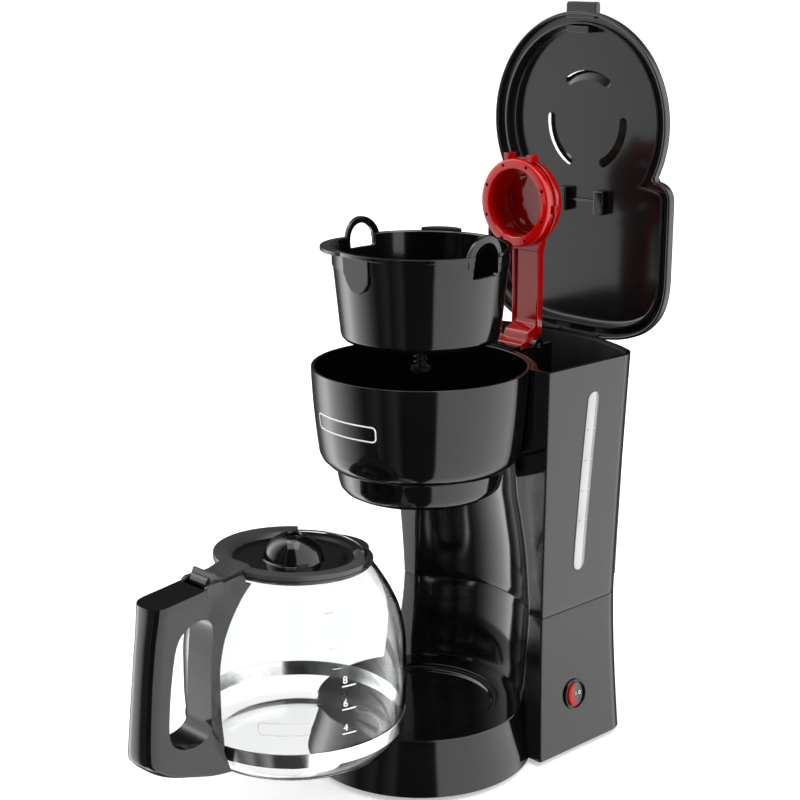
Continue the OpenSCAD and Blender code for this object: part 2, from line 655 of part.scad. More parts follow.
module carafe_glass() color([0.85, 0.9, 0.9, 0.35]) at_carafe() rotate_extrude() polygon(concat(
    [[0, 1.2], [52, 1.2]], glass_profile, [[50, 135], [47.8, 135]],
    [for (i = [len(glass_profile) - 1:-1:2]) [glass_profile[i][0] - glass_wall, max(glass_profile[i][1], 4.6)]],
    [[60, 3.4], [0, 3.4]]));

module carafe_band() color([0.8, 0.8, 0.82]) at_carafe() rotate_extrude()
    polygon([[74.2, 13.6], [75, 13.6], [76.4, 24], [75.6, 24]]);

module carafe_collar() color([0.05, 0.05, 0.055]) at_carafe() difference() {
    union() {
        rotate_extrude() polygon([[50.2, 132.4], [53, 131.6], [53.8, 132.4], [54.4, 138.6], [50.2, 138.6]]);
        // pouring lip at the rear
        intersection() {
            rotate_extrude() polygon([[50.2, 131.6], [56, 131.6], [61, 134.6], [61, 136.6], [50.2, 136.6]]);
            translate([-17, 30, 120]) cube([34, 40, 30]);
        }
        // strap to the handle
        translate([-11, -73, 132.4]) cube([22, 22, 3.6]);
    }
    translate([0, 0, 120]) cylinder(r = 50.2, h = 30);
}

handle_half = 12;
handle_side = [[-58, 131.6], [-121, 131.6], [-127, 127], [-131, 100], [-134.5, 73], [-137.5, 32],
    [-134, 24], [-124, 16], [-107, 10], [-90, 6], [-66, 3], [-66, 40], [-66, 90]];
grip_low = [-99, 44, 15];    // ends of the grip opening: distance forward, height, radius
grip_high = [-96, 103, 12];
module carafe_handle() color([0.05, 0.05, 0.055]) at_carafe() difference() {
    union() {
        intersection() {
            translate([-handle_half, 0, 0]) rotate([90, 0, 90]) linear_extrude(height = 2 * handle_half)
                polygon(handle_side);
            union() {
                translate([-30, -122, 0]) cube([60, 80, 140]);
                translate([0, -122, 0]) cylinder(r = 16, h = 140);
            }
        }
        // lugs for the lid pin
        both_sides() translate([8.4, lid_pin_y, lid_pin_z]) rotate([0, 90, 0]) cylinder(r = 4.6, h = 3.6);
        both_sides() translate([8.4, lid_pin_y - 4.6, 130]) cube([3.6, 9.2, lid_pin_z - 130]);
    }
    // room for the glass and the collar
    rotate_extrude() polygon(concat([[0, -5], [70, -5], [77.3, 20]],
        [for (i = [6:len(glass_profile) - 1]) [glass_profile[i][0] + gap + 0.2, glass_profile[i][1]]],
        [[54.9, 132], [54.9, 145], [0, 145]]));
    translate([-11.3, -73.3, 132]) cube([22.6, 30, 10]);
    // grip opening
    translate([-30, 0, 0]) rotate([90, 0, 90]) linear_extrude(height = 60) {
        polygon([[grip_low[0] + grip_low[2], grip_low[1]], [grip_low[0] - grip_low[2], grip_low[1]],
            [grip_high[0] - grip_high[2], grip_high[1]], [grip_high[0] + grip_high[2], grip_high[1]]]);
        for (g = [grip_low, grip_high]) translate([g[0], g[1]]) circle(r = g[2]);
    }
    translate([0, lid_pin_y, lid_pin_z]) along_x(pin_r, 60);
    translate([0, -64.5, 120]) cylinder(r = 1.7, h = 20);
}

module handle_screw() color([0.6, 0.6, 0.62]) at_carafe() translate([0, -64.5, 0]) rotate_extrude()
    polygon([[0, 123], [1.7, 124], [1.7, 132.4], [0, 132.4]]);

module carafe_lid() color([0.05, 0.05, 0.055]) at_carafe() difference() {
    union() {
        difference() {
            rotate_extrude() polygon([[5.6, 151.2], [7, 151.6], [12, 149.4], [17, 144.4], [20.4, 138.6],
                [21, 136], [40, 136.6], [47, 139.9], [54.2, 140.2], [54.2, 138.8], [46.8, 138.8], [46.8, 131],
                [45, 131], [44.4, 136.4], [39, 134.4], [19, 134.2], [18.2, 138], [15, 143],
                [11, 147], [5.6, 148.8]]);
            // gap in the rim above the pouring lip
            translate([-22, 30, 128]) cube([44, 40, 9.8]);
        }
        translate([-8, lid_pin_y, 138.8]) cube([16, 30, 2.8]);
        translate([0, lid_pin_y, lid_pin_z]) along_x(4.6, 16);
    }
    translate([0, lid_pin_y, lid_pin_z]) along_x(pin_r + run, 60);
}

module carafe_lid_pin() color([0.7, 0.7, 0.72]) at_carafe() translate([0, lid_pin_y, lid_pin_z])
    along_x(pin_r, 23.4);

upper_housing();
brew_bowl();
reservoir_tank();
water_window();
base_housing();
bottom_cover();
feet();
cover_screws();
warming_plate();
plate_gasket();
heater_element();
heater_bracket();
thermostat();
thermal_fuses();
inlet_hose();
check_valve();
riser_tube();
wire_harness();
cord_gland();
switch_bezel();
switch_body();
switch_rocker();
badge_plate();
arm_cradle();
arm_pin();
shower_arm();
shower_ring();
lid_shell();
lid_clips();
lid_hinge_pins();
basket();
drip_valve();
valve_spring();
valve_seal();
carafe_glass();
carafe_band();
carafe_collar();
carafe_handle();
handle_screw();
carafe_lid();
carafe_lid_pin();
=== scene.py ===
"""Looks of the drip coffee maker: moulded black housing, open lid, red shower arm, basket and
glass carafe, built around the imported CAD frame. Lengths below are in millimetres in the CAD
frame and become metres when a mesh is made; the camera, floor and lamp are in metres. +Z up,
front -Y, origin on the bowl axis. Profiles of lathed pieces are (radius, height) points."""

import math

import bmesh
import bpy
from mathutils import Matrix, Vector


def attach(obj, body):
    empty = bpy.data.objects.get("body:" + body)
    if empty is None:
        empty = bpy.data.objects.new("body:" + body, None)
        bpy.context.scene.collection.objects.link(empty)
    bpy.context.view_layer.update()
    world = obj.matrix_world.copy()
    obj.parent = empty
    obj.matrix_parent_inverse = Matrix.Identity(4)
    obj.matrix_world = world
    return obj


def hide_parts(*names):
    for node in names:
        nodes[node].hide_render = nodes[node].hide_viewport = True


MM = 0.001
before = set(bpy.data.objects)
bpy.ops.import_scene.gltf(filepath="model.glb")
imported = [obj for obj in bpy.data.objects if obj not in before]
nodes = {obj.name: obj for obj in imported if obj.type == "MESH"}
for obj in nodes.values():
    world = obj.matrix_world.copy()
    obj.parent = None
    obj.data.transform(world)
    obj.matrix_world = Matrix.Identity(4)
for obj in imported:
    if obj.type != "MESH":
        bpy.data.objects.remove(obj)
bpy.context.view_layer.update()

# ---- camera ----

# the place, turn and lens come from a fit to the bowl, base and side panel as the view shows them
camera_data = bpy.data.cameras.new("camera")
camera_data.lens = 76.68
camera_data.sensor_width = 36
camera = bpy.data.objects.new("camera", camera_data)
camera.location = (0.8203, -0.8433, 0.5869)
camera.rotation_euler = (math.radians(75.08), 0, math.radians(44.92))
bpy.context.scene.collection.objects.link(camera)
bpy.context.scene.camera = camera
bpy.context.scene.view_settings.view_transform = "Standard"

# ---- materials ----


def shader(name, colour_a, colour_b, rough, scale, bump=0.0, bump_scale=900, **sockets):
    """A Principled material whose colour and roughness wander between two values; sockets are set
    by name, with underscores for spaces."""
    mat = bpy.data.materials.new(name)
    mat.use_nodes = True
    tree = mat.node_tree
    bsdf = tree.nodes["Principled BSDF"]
    coords = tree.nodes.new("ShaderNodeTexCoord")
    noise = tree.nodes.new("ShaderNodeTexNoise")
    noise.inputs["Scale"].default_value = scale
    noise.inputs["Detail"].default_value = 4
    tree.links.new(coords.outputs["Object"], noise.inputs["Vector"])
    ramp = tree.nodes.new("ShaderNodeValToRGB")
    ramp.color_ramp.elements[0].position = 0.35
    ramp.color_ramp.elements[1].position = 0.65
    ramp.color_ramp.elements[0].color = (*colour_a, 1)
    ramp.color_ramp.elements[1].color = (*colour_b, 1)
    tree.links.new(noise.outputs["Fac"], ramp.inputs["Fac"])
    tree.links.new(ramp.outputs["Color"], bsdf.inputs["Base Color"])
    spread = tree.nodes.new("ShaderNodeMapRange")
    spread.inputs["From Min"].default_value = 0.3
    spread.inputs["From Max"].default_value = 0.7
    spread.inputs["To Min"].default_value = rough[0]
    spread.inputs["To Max"].default_value = rough[1]
    tree.links.new(noise.outputs["Fac"], spread.inputs["Value"])
    tree.links.new(spread.outputs["Result"], bsdf.inputs["Roughness"])
    if bump:
        grain = tree.nodes.new("ShaderNodeTexNoise")
        grain.inputs["Scale"].default_value = bump_scale
        grain.inputs["Detail"].default_value = 3
        tree.links.new(coords.outputs["Object"], grain.inputs["Vector"])
        lift = tree.nodes.new("ShaderNodeBump")
        lift.inputs["Strength"].default_value = bump
        lift.inputs["Distance"].default_value = 0.0002
        tree.links.new(grain.outputs["Fac"], lift.inputs["Height"])
        tree.links.new(lift.outputs["Normal"], bsdf.inputs["Normal"])
    for socket, value in sockets.items():
        bsdf.inputs[socket.replace("_", " ")].default_value = value
    return mat


def greys(low, high):
    return (low,) * 3, (high,) * 3


gloss_black = shader("gloss_black", *greys(0.0022, 0.003), (0.085, 0.1), 18)
satin_black = shader("satin_black", *greys(0.017, 0.022), (0.22, 0.28), 30, 0.03, 1200)
lid_black = shader("lid_black", *greys(0.006, 0.008), (0.13, 0.16), 20, 0.015)
rim_black = shader("rim_black", *greys(0.034, 0.042), (0.28, 0.36), 30, 0.03, 1200)
tank_black = shader("tank_black", *greys(0.004, 0.007), (0.4, 0.5), 30, 0.05)
plate_black = shader("plate_black", *greys(0.003, 0.004), (0.07, 0.1), 60, 0.015, 1800)
valve_dark = shader("valve_dark", *greys(0.006, 0.01), (0.3, 0.4), 40, 0.05, 700)
# real rubber for feet and seals, and also the painted shade in the arm's spray holes
rubber_and_hole_shade = shader("rubber_and_hole_shade", *greys(0.008, 0.014), (0.55, 0.7), 60, 0.15, 1500)
white_ink = shader("white_ink", *greys(0.82, 0.9), (0.3, 0.4), 60, 0.02)
grey_ink = shader("grey_ink", *greys(0.6, 0.7), (0.3, 0.4), 60, 0.02)
window_clear = shader("window_clear", (0.44, 0.445, 0.45), (0.5, 0.505, 0.51), (0.12, 0.2), 30, 0.03, 500)
window_shade = shader("window_shade", *greys(0.2, 0.25), (0.12, 0.2), 30, 0.03, 500)
steel = shader("brushed_steel", (0.62, 0.62, 0.63), (0.74, 0.74, 0.75), (0.16, 0.26), 90, 0.04, 1500,
               Metallic=1)
aluminium = shader("cast_aluminium", (0.55, 0.55, 0.56), (0.7, 0.7, 0.7), (0.35, 0.5), 60, 0.3, 800,
                   Metallic=1)
band_metal = shader("band_metal", (0.78, 0.78, 0.79), (0.88, 0.88, 0.89), (0.1, 0.18), 80, 0.03, 1200,
                    Metallic=1)
arm_red = shader("arm_red", (0.36, 0.0015, 0.0015), (0.42, 0.0025, 0.002), (0.06, 0.09), 25, 0.01, 700,
                 Transmission_Weight=0.2, Subsurface_Weight=0.1, Subsurface_Radius=(0.004, 0.0004, 0.0004))
ring_red = shader("ring_red", (0.52, 0.003, 0.003), (0.6, 0.004, 0.0035), (0.06, 0.09), 25, 0.01, 700,
                  Transmission_Weight=0.15)
switch_red = shader("switch_red", (0.3, 0.004, 0.003), (0.36, 0.006, 0.005), (0.14, 0.2), 40,
                    Specular_IOR_Level=0.15)
silicone = shader("silicone", (0.62, 0.6, 0.55), (0.72, 0.7, 0.64), (0.4, 0.5), 40, 0.1, 700,
                  Subsurface_Weight=0.2)
ceramic = shader("ceramic", (0.7, 0.68, 0.62), (0.8, 0.78, 0.73), (0.4, 0.55), 60, 0.1)
wire_red = shader("wire_sleeve", (0.35, 0.02, 0.02), (0.45, 0.04, 0.03), (0.35, 0.45), 80, 0.1)
# the low specular tint keeps the bright studio from hazing over the inside of the glass
glass = shader("carafe_glass_clear", (0.97, 0.985, 0.98), (0.99, 0.995, 0.99), (0.0, 0.012), 12,
               Transmission_Weight=1.0, IOR=1.47, Specular_Tint=(0.15, 0.15, 0.15, 1))

# ---- mesh helpers ----


def smoothed(obj):
    for face in obj.data.polygons:
        face.use_smooth = True
    return obj


def new_object(name, verts, faces, material):
    """A smooth-shaded mesh from points in millimetres."""
    mesh = bpy.data.meshes.new(name)
    mesh.from_pydata([(x * MM, y * MM, z * MM) for x, y, z in verts], [], faces)
    bm = bmesh.new()
    bm.from_mesh(mesh)
    bmesh.ops.remove_doubles(bm, verts=bm.verts, dist=1e-7)
    bmesh.ops.recalc_face_normals(bm, faces=bm.faces)
    bm.to_mesh(mesh)
    bm.free()
    mesh.materials.append(material)
    obj = bpy.data.objects.new(name, mesh)
    bpy.context.scene.collection.objects.link(obj)
    return smoothed(obj)


def bevelled(obj, width, segments, angle):
    """Rounds the edges sharper than the angle and keeps the flats flat in the shading."""
    mod = obj.modifiers.new("edges", "BEVEL")
    mod.width = width * MM
    mod.segments = segments
    mod.limit_method = "ANGLE"
    mod.angle_limit = math.radians(angle)
    mod.use_clamp_overlap = True
    mod.harden_normals = True
    weigh = obj.modifiers.new("normals", "WEIGHTED_NORMAL")
    weigh.keep_sharp = True
    return obj


def placed(obj, body, slot, *replaced):
    """The piece rides on a body and stands for these CAD nodes; slot is not used."""
    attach(obj, body)
    if replaced:
        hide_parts(*replaced)
    return obj


def baked(obj):
    """Turns the object's modifiers into its mesh."""
    graph = bpy.context.evaluated_depsgraph_get()
    graph.update()
    mesh = bpy.data.meshes.new_from_object(obj.evaluated_get(graph))
    obj.modifiers.clear()
    obj.data = mesh
    return obj


def cut(obj, *cutters):
    """Takes the cutters away from the object."""
    for cutter in cutters:
        mod = obj.modifiers.new("cut", "BOOLEAN")
        mod.operation = "DIFFERENCE"
        mod.solver = "EXACT"
        mod.object = cutter
        baked(obj)
        bpy.data.objects.remove(cutter)
    return smoothed(obj)


def moved(obj, place):
    """Sends every point of the mesh through place(x, y, z), in metres."""
    for v in obj.data.vertices:
        v.co = place(*v.co)
    obj.data.update()
    return obj


def along_x(obj, y, z, side=1):
    """Lays a lathed piece's axis along X through (y, z); side -1 makes the left-hand one."""
    return moved(obj, lambda a, b, c: (side * c, a + y * MM, b + z * MM))


def spline(a, b, c, d, t):
    """The Catmull-Rom value between b and c."""
    square, cube = 2 * a - 5 * b + 4 * c - d, 3 * b - a - 3 * c + d
    return 0.5 * (2 * b + (c - a) * t + square * t * t + cube * t ** 3)


def smooth_line(points):
    """Four times as many points, on a smooth line through these ones."""
    out = []
    last = len(points) - 1
    for i in range(last):
        around = points[max(i - 1, 0)], points[i], points[i + 1], points[min(i + 2, last)]
        out += [tuple(spline(*values, k / 4) for values in zip(*around)) for k in range(4)]
    return out + [tuple(points[-1])]


def lathe(name, profile, material, closed=True, segments=144, centre=(0, 0, 0), sweep=None):
    """Revolves (radius, height) points about Z; sweep is (start, end) in degrees for part of a turn.
    An open profile, closed=False, is one that starts and ends on the axis."""
    full = sweep is None
    a0, a1 = (0, 360) if full else sweep
    count = segments if full else segments + 1
    verts = []
    for i in range(count):
        a = math.radians(a0 + (a1 - a0) * i / segments)
        for r, z in profile:
            verts.append((centre[0] + r * math.cos(a), centre[1] + r * math.sin(a), centre[2] + z))
    m = len(profile)
    faces = []
    for i in range(segments):
        j = (i + 1) % count
        for k in range(m if closed else m - 1):
            q = (k + 1) % m
            faces.append((i * m + k, j * m + k, j * m + q, i * m + q))
    if not full and closed:
        faces.append(tuple(range(m)))
        faces.append(tuple(range((count - 1) * m, count * m)))
    return new_object(name, verts, faces, material)


def loft(name, loops, material, caps=True):
    """A skin over closed loops that have the same number of points, with its two ends filled."""
    m = len(loops[0])
    verts = [p for loop in loops for p in loop]
    faces = []
    for i in range(len(loops) - 1):
        for k in range(m):
            q = (k + 1) % m
            faces.append((i * m + k, i * m + q, (i + 1) * m + q, (i + 1) * m + k))
    if caps:
        faces.append(tuple(range(m)))
        faces.append(tuple(range((len(loops) - 1) * m, len(loops) * m)))
    return new_object(name, verts, faces, material)


def prism(name, outline, material, place, depth, start=0):
    """Outline (u, v) points pushed along a third direction; place turns (u, v, w) into x, y, z."""
    n = len(outline)
    verts = [place(u, v, start) for u, v in outline] + [place(u, v, start + depth) for u, v in outline]
    faces = [tuple(range(n)), tuple(range(2 * n - 1, n - 1, -1))]
    faces += [(k, (k + 1) % n, n + (k + 1) % n, n + k) for k in range(n)]
    return new_object(name, verts, faces, material)


def flat(u, v, w):
    return (u, v, w)


def side_on(u, v, w):
    return (w, u, v)


def front_on(u, v, w):
    return (u, w, v)


def polar(r, degrees):
    return (r * math.cos(math.radians(degrees)), r * math.sin(math.radians(degrees)))


def mirrored(half):
    """Closes half an outline, which starts and ends on the Y axis, with its mirror image."""
    return half + [(-x, y) for x, y in half[1:-1]][::-1]


def arc(cx, cy, r, a0, a1, n):
    """n + 1 points round a centre, from a0 to a1 degrees."""
    turns = [polar(r, a0 + (a1 - a0) * i / n) for i in range(n + 1)]
    return [(cx + x, cy + y) for x, y in turns]


def block(name, low, high, material):
    """A box between two corners."""
    outline = [(low[0], low[1]), (high[0], low[1]), (high[0], high[1]), (low[0], high[1])]
    return prism(name, outline, material, flat, high[2] - low[2], low[2])


def joined(name, first, *others):
    """Adds the other objects' meshes to the first one's, which takes the name."""
    first.name = name
    bm = bmesh.new()
    bm.from_mesh(first.data)
    for added in others:
        names = [m.name for m in first.data.materials]
        for m in added.data.materials:
            if m.name not in names:
                first.data.materials.append(m)
                names.append(m.name)
        places = [names.index(m.name) for m in added.data.materials]
        for face in added.data.polygons:
            face.material_index = places[face.material_index]
        bm.from_mesh(added.data)
        bpy.data.objects.remove(added)
    bm.to_mesh(first.data)
    bm.free()
    return first


def lerp_table(table, x):
    """The value at x on straight lines between (x, value) pairs."""
    if x <= table[0][0]:
        return table[0][1]
    for (x0, y0), (x1, y1) in zip(table, table[1:]):
        if x <= x1:
            return y0 + (y1 - y0) * (x - x0) / (x1 - x0)
    return table[-1][1]


# ---- housing: a waisted column with wing planes beside the round hollow ----

RIM, SEAM, FOOT = 300, 110, 4
SIDE_X, WAIST_IN, FRONT_Y, FLARE = 84, 13, 42, math.radians(2.06)
REAR_R, CORNER_R, CORNER_X = 160, 20, 67.1
BOWL = [(232, 68.6), (234, 70.8), (238, 72.6), (245, 73.5), (252, 74.4), (260, 75.3), (274.5, 76.7),
        (285, 77.4), (294, 77.9), (300, 78)]
RECESS = smooth_line([(0, 73.6), (30, 74), (46, 74.6), (55, 76.6), (75, 78.2), (96, 79.5), (110, 80),
                      (135, 78.6), (160, 76.5), (185, 72.8), (200, 70), (215, 68.6), (228, 67.6)])
WALL, WALL_GAP, BOWL_STARTS, EDGE_R, SEAM_GAP, SEAM_INSET = 2.4, 0.15, 230, 1.6, 0.45, 0.5


def waist(z):
    """How far the column draws in at this height: most at the seam, nothing at the rim and foot."""
    if z > SEAM:
        return WAIST_IN * (1 - ((z - SEAM) / (RIM - SEAM)) ** 1.33)
    return WAIST_IN * (1 - ((SEAM - max(z, FOOT)) / (SEAM - FOOT)) ** 1.6)


def hollow_r(z):
    """Radius of the round hollow that faces the carafe."""
    return lerp_table(BOWL if z > BOWL_STARTS else RECESS, z) + WALL_GAP


def side_x(y, z):
    """The flared side panel."""
    return SIDE_X - waist(z) + math.tan(FLARE) * (y - FRONT_Y)


def column_loop(z, inset=0.0):
    """Half outline from the back of the hollow round the +X side to the rear, then its mirror."""
    d = waist(z)
    hollow = hollow_r(z) + inset
    front = FRONT_Y + d + inset
    inner_a = math.degrees(math.asin(front / hollow))
    half = arc(0, 0, hollow, 90, inner_a + 1.2, 30)
    edge_x = math.sqrt(hollow ** 2 - front ** 2)
    half += [(edge_x + 0.5, front + 0.35), (edge_x + 1.4, front)]
    cx, cy = CORNER_X - d, math.sqrt((REAR_R - CORNER_R) ** 2 - (CORNER_X - d) ** 2)
    side_front = side_x(front, z) - inset
    half += arc(side_front - EDGE_R, front + EDGE_R, EDGE_R, -90, 0, 4)
    side_back = cx + CORNER_R - inset
    for k in range(1, 8):
        y = front + EDGE_R + (cy - front - EDGE_R) * k / 8
        half.append((side_front + (side_back - side_front) * k / 8, y))
    turn = math.degrees(math.atan2(cy, cx))
    half += arc(cx, cy, CORNER_R - inset, 0, turn, 12)
    half += arc(0, 0, REAR_R - inset, turn + (90 - turn) / 16, 90, 15)
    return [(x, y, z) for x, y in mirrored(half)]


def column_shell(name, levels, material, seam_level):
    """A wall through the column's loops, drawn in a little at the seam."""
    loops = [column_loop(z, SEAM_INSET if z == seam_level else 0) for z in levels]
    obj = loft(name, loops, material, caps=False)
    wall = obj.modifiers.new("wall", "SOLIDIFY")
    wall.thickness = WALL * MM
    wall.offset = -1
    wall.use_even_offset = True
    return bevelled(smoothed(baked(obj)), 0.35, 2, 50)


upper_levels = [SEAM, SEAM + SEAM_GAP] + [SEAM + 6 * k for k in range(1, 20)]
upper_levels += [229.5, 232, 234, 236, 238, 241.5, 245, 252, 260, 267, 274.5, 285, 294, RIM]
upper_shell = column_shell("upper_shell", upper_levels, gloss_black, upper_levels[0])
placed(upper_shell, "machine", "gloss_black", "upper_housing")
base_levels = [FOOT, 12, 20, 28, 36, 44, 50, 55, 61, 68, 75, 82, 89, 96, 103, SEAM - 2 * SEAM_GAP,
               SEAM - SEAM_GAP]
base_shell = column_shell("base_shell", base_levels, gloss_black, base_levels[-1])
placed(base_shell, "machine", "gloss_black", "base_housing")

DRUM = [(83.7, 4), (82.9, 7.5), (82.1, 12), (79.4, 20), (76.4, 30), (74.6, 37), (73.2, 42.6), (76.0, 43.2),
        (76.4, 43.6), (76.3, 44.4), (75.9, 44.7), (58.8, 44.7), (58.6, 44.4), (58.6, 39.2), (62, 39.2),
        (70.5, 40.6), (72.2, 34), (74, 29), (77, 20), (79.6, 12), (81, 4)]
drum = bevelled(lathe("base_drum", DRUM, gloss_black), 0.3, 2, 40)
placed(drum, "machine", "gloss_black")

# ---- bowl with its step ring and a blank badge frame ----

bowl_outer = [(12, 207), (47, 207), (51.5, 207.6), (55.5, 209.6), (57.8, 212.4), (58.8, 216), (60.5, 226),
              (61.2, 228.4), (63.5, 229), (65.2, 229.2), (67, 230.2), (68.6, 231.8)]
bowl_outer += [(r, z) for z, r in BOWL[1:]]
bowl_inner = [(75.6, 300), (75.5, 294), (74.3, 274.5), (72.9, 260), (71.1, 245), (69.6, 238), (64, 232.6),
              (58.4, 231.4), (57.8, 226), (55.6, 216), (53.6, 211), (49, 209.5), (12, 209.5)]
bowl = bevelled(lathe("bowl_shell", bowl_outer + bowl_inner, gloss_black), 0.4, 2, 40)
placed(bowl, "machine", "gloss_black", "brew_bowl")

BADGE_A0, BADGE_A1, BADGE_Z, BADGE_H, BADGE_R = -112.7, -69.2, 267, 10.6, 76


def bowl_surface(azimuth, z, proud):
    return (*polar(lerp_table(BOWL, z) + proud, azimuth), z)


def rounded_outline(w, h, r, n):
    """A rectangle about the origin with n steps round each corner of radius r."""
    pts = []
    for right, up, a in ((1, 1, 0), (-1, 1, 90), (-1, -1, 180), (1, -1, 270)):
        pts += arc(right * (w / 2 - r), up * (h / 2 - r), r, a, a + 90, n)
    return pts


def dense(outline, step):
    """The closed outline with no side longer than step."""
    out = []
    for (x0, y0), (x1, y1) in zip(outline, outline[1:] + outline[:1]):
        n = max(1, math.ceil(math.hypot(x1 - x0, y1 - y0) / step))
        out += [(x0 + (x1 - x0) * k / n, y0 + (y1 - y0) * k / n) for k in range(n)]
    return out


def frame_on(name, surface, w, h, r, line, height, material):
    """A raised rounded-rectangle line laid on a surface(u, v, proud)."""
    centre = dense(rounded_outline(w, h, r, 6), 2)
    section = [(-0.5, -0.3), (-0.5, 0.7 * height), (-0.3, height), (0.3, height), (0.5, 0.7 * height),
               (0.5, -0.3)]
    sections = []
    for i, (u, v) in enumerate(centre):
        (u0, v0), (u1, v1) = centre[i - 1], centre[(i + 1) % len(centre)]
        length = math.hypot(u1 - u0, v1 - v0)
        nu, nv = line * (v1 - v0) / length, -line * (u1 - u0) / length
        sections.append([surface(u + nu * side, v + nv * side, up) for side, up in section])
    return loft(name, sections + sections[:1], material, caps=False)


badge_mid = (BADGE_A0 + BADGE_A1) / 2
badge_w = math.radians(BADGE_A1 - BADGE_A0) * BADGE_R
badge = frame_on("badge_frame",
                 lambda u, v, up: bowl_surface(badge_mid + math.degrees(u / BADGE_R), BADGE_Z + v, up),
                 badge_w, BADGE_H, 3.0, 1.0, 0.45, white_ink)
placed(badge, "machine", "badge_silver", "badge_plate")

# ---- water window ----

WINDOW_Y, WINDOW_W, WINDOW_LOW, WINDOW_HIGH, STRIP_DEEP = 92.5, 11.6, 140, 278, 0.8
MARK_LOW, MARK_STEP, MARK_H, RIM_W, SHADE_FROM = 179, 23.5, 0.5, 0.9, 0.42


def panel_surface(y, z, proud):
    return (side_x(y, z) + proud, y, z)


def strip_on_panel(name, half_w, low, high, proud, material):
    """A strip with round ends that follows the side panel and is let into it by STRIP_DEEP."""
    zs = [low + half_w * (1 - math.cos(math.radians(a))) for a in range(0, 91, 10)]
    zs += [low + half_w + (high - low - 2 * half_w) * k / 24 for k in range(1, 24)]
    zs += [high - half_w * (1 - math.sin(math.radians(a))) for a in range(0, 91, 10)]
    loops = []
    for z in zs:
        into_end = max(low + half_w - z, z - high + half_w, 0)
        w = math.sqrt(max(half_w ** 2 - into_end ** 2, 0.01))
        inset = min(0.4, 0.5 * w)
        section = [(-w, -STRIP_DEEP), (-w, proud * 0.4), (-w + inset, proud), (SHADE_FROM * w, proud),
                   (w - inset, proud), (w, proud * 0.4), (w, -STRIP_DEEP)]
        loops.append([panel_surface(WINDOW_Y + y, z, up) for y, up in section])
    return loft(name, loops, material)


window = strip_on_panel("window_strip", WINDOW_W / 2, WINDOW_LOW, WINDOW_HIGH, 0.5, window_clear)
window.data.materials.append(window_shade)  # the rear part of the strip is darker
for face in window.data.polygons:
    if face.center.y > (WINDOW_Y + SHADE_FROM * WINDOW_W / 2) * MM:
        face.material_index = 1
placed(window, "machine", "clear_window", "water_window")
level_marks = []
for k in range(4):
    for low_y, high_y, ink in ((-5.0, -2.2, window_shade), (2.6, 5.0, window_clear)):
        outline = [(low_y, 0), (high_y, 0), (high_y, MARK_H), (low_y, MARK_H)]
        level_marks.append(prism(
            "mark", outline, ink,
            lambda u, v, w: panel_surface(WINDOW_Y + u, MARK_LOW + MARK_STEP * k + v, w), 0.3, 0.35))
placed(joined("window_level_marks", *level_marks), "machine", "badge_silver")
window_rim = strip_on_panel("window_rim", WINDOW_W / 2 + RIM_W, WINDOW_LOW - RIM_W, WINDOW_HIGH + RIM_W, 0.25,
                            satin_black)
placed(window_rim, "machine", "gloss_black")

# ---- warming plate: a flat disc inside a raised rim ----

plate_profile = [(0.01, 40.1), (30, 40.1), (52.4, 40.15), (53.4, 40.7), (54, 41.9), (55, 42.4), (56.4, 42.4),
                 (57, 41.9), (57, 40.8), (56, 39.6), (54.6, 38.8), (0.01, 38.7)]
plate = bevelled(lathe("hot_plate", plate_profile, plate_black), 0.25, 2, 50)
placed(plate, "machine", "plate_enamel", "warming_plate")

# ---- switch ----

SWITCH_Y, SWITCH_Z, TILT = 86, 43.4, math.radians(81.6)
switch_centre = Vector((side_x(SWITCH_Y, SWITCH_Z) + 0.3, SWITCH_Y, SWITCH_Z))
switch_turn = Matrix.Rotation(-FLARE, 4, "Z") @ Matrix.Rotation(TILT, 4, "Y")
switch_place = Matrix.Translation(switch_centre) @ switch_turn


def at_switch(obj, rocked=0.0):
    """Stands a piece made about the origin on the side panel, tipped by some degrees."""
    move = switch_place @ Matrix.Rotation(math.radians(rocked), 4, "X")
    obj.data.transform(Matrix.Scale(MM, 4) @ move @ Matrix.Scale(1 / MM, 4))
    return obj


bezel_profile = [(9.95, -6), (11.4, -6), (11.8, 0.1), (11.75, 0.9), (11.3, 1.5), (10.8, 1.7), (10.3, 1.5),
                 (9.95, 1.0)]
bezel = at_switch(bevelled(lathe("switch_ring", bezel_profile, gloss_black, segments=96), 0.15, 2, 50))
placed(bezel, "machine", "gloss_black", "switch_bezel")

# the rocker is a shallow dished disc: a red half lit from inside and a dark half with its marks
ROCKER_R, ROCKER_REST, RED_EDGE, RED_SLOPE = 9.0, -8, -1.6, 0.35
rocker_profile = [(0.01, 0.3), (4, 0.35), (7, 0.75), (8.4, 1.35), (ROCKER_R, 1.0), (ROCKER_R, -2.7),
                  (0.01, -2.7)]
rocker = lathe("rocker_cap", rocker_profile, satin_black, closed=False, segments=96)
rocker.data.materials.append(switch_red)
for face in rocker.data.polygons:
    if face.center.y < RED_EDGE * MM + RED_SLOPE * abs(face.center.x):
        face.material_index = 1
at_switch(rocker, ROCKER_REST)
placed(bevelled(rocker, 0.15, 2, 50), "rocker", "red_plastic", "switch_rocker")
ring_section = [(1.0, 0.67), (1.5, 0.67), (1.5, 0.78), (1.0, 0.78)]
rocker_off = lathe("rocker_off_mark", ring_section, white_ink, segments=40, centre=(0.2, 5.4, 0))
placed(at_switch(rocker_off, ROCKER_REST), "rocker", "badge_silver")
rocker_on = prism("rocker_on_mark", rounded_outline(2.6, 0.55, 0.2, 2), white_ink,
                  lambda u, v, w: (u, v + 1.2, w), 0.12, 0.3)
placed(at_switch(rocker_on, ROCKER_REST), "rocker", "badge_silver")

# ---- red shower arm ----

ARM_Y, ARM_Z, RING_Z = 107.5, 299, 404.5
VENT_R, SPOT_R = 19.2, 29.0


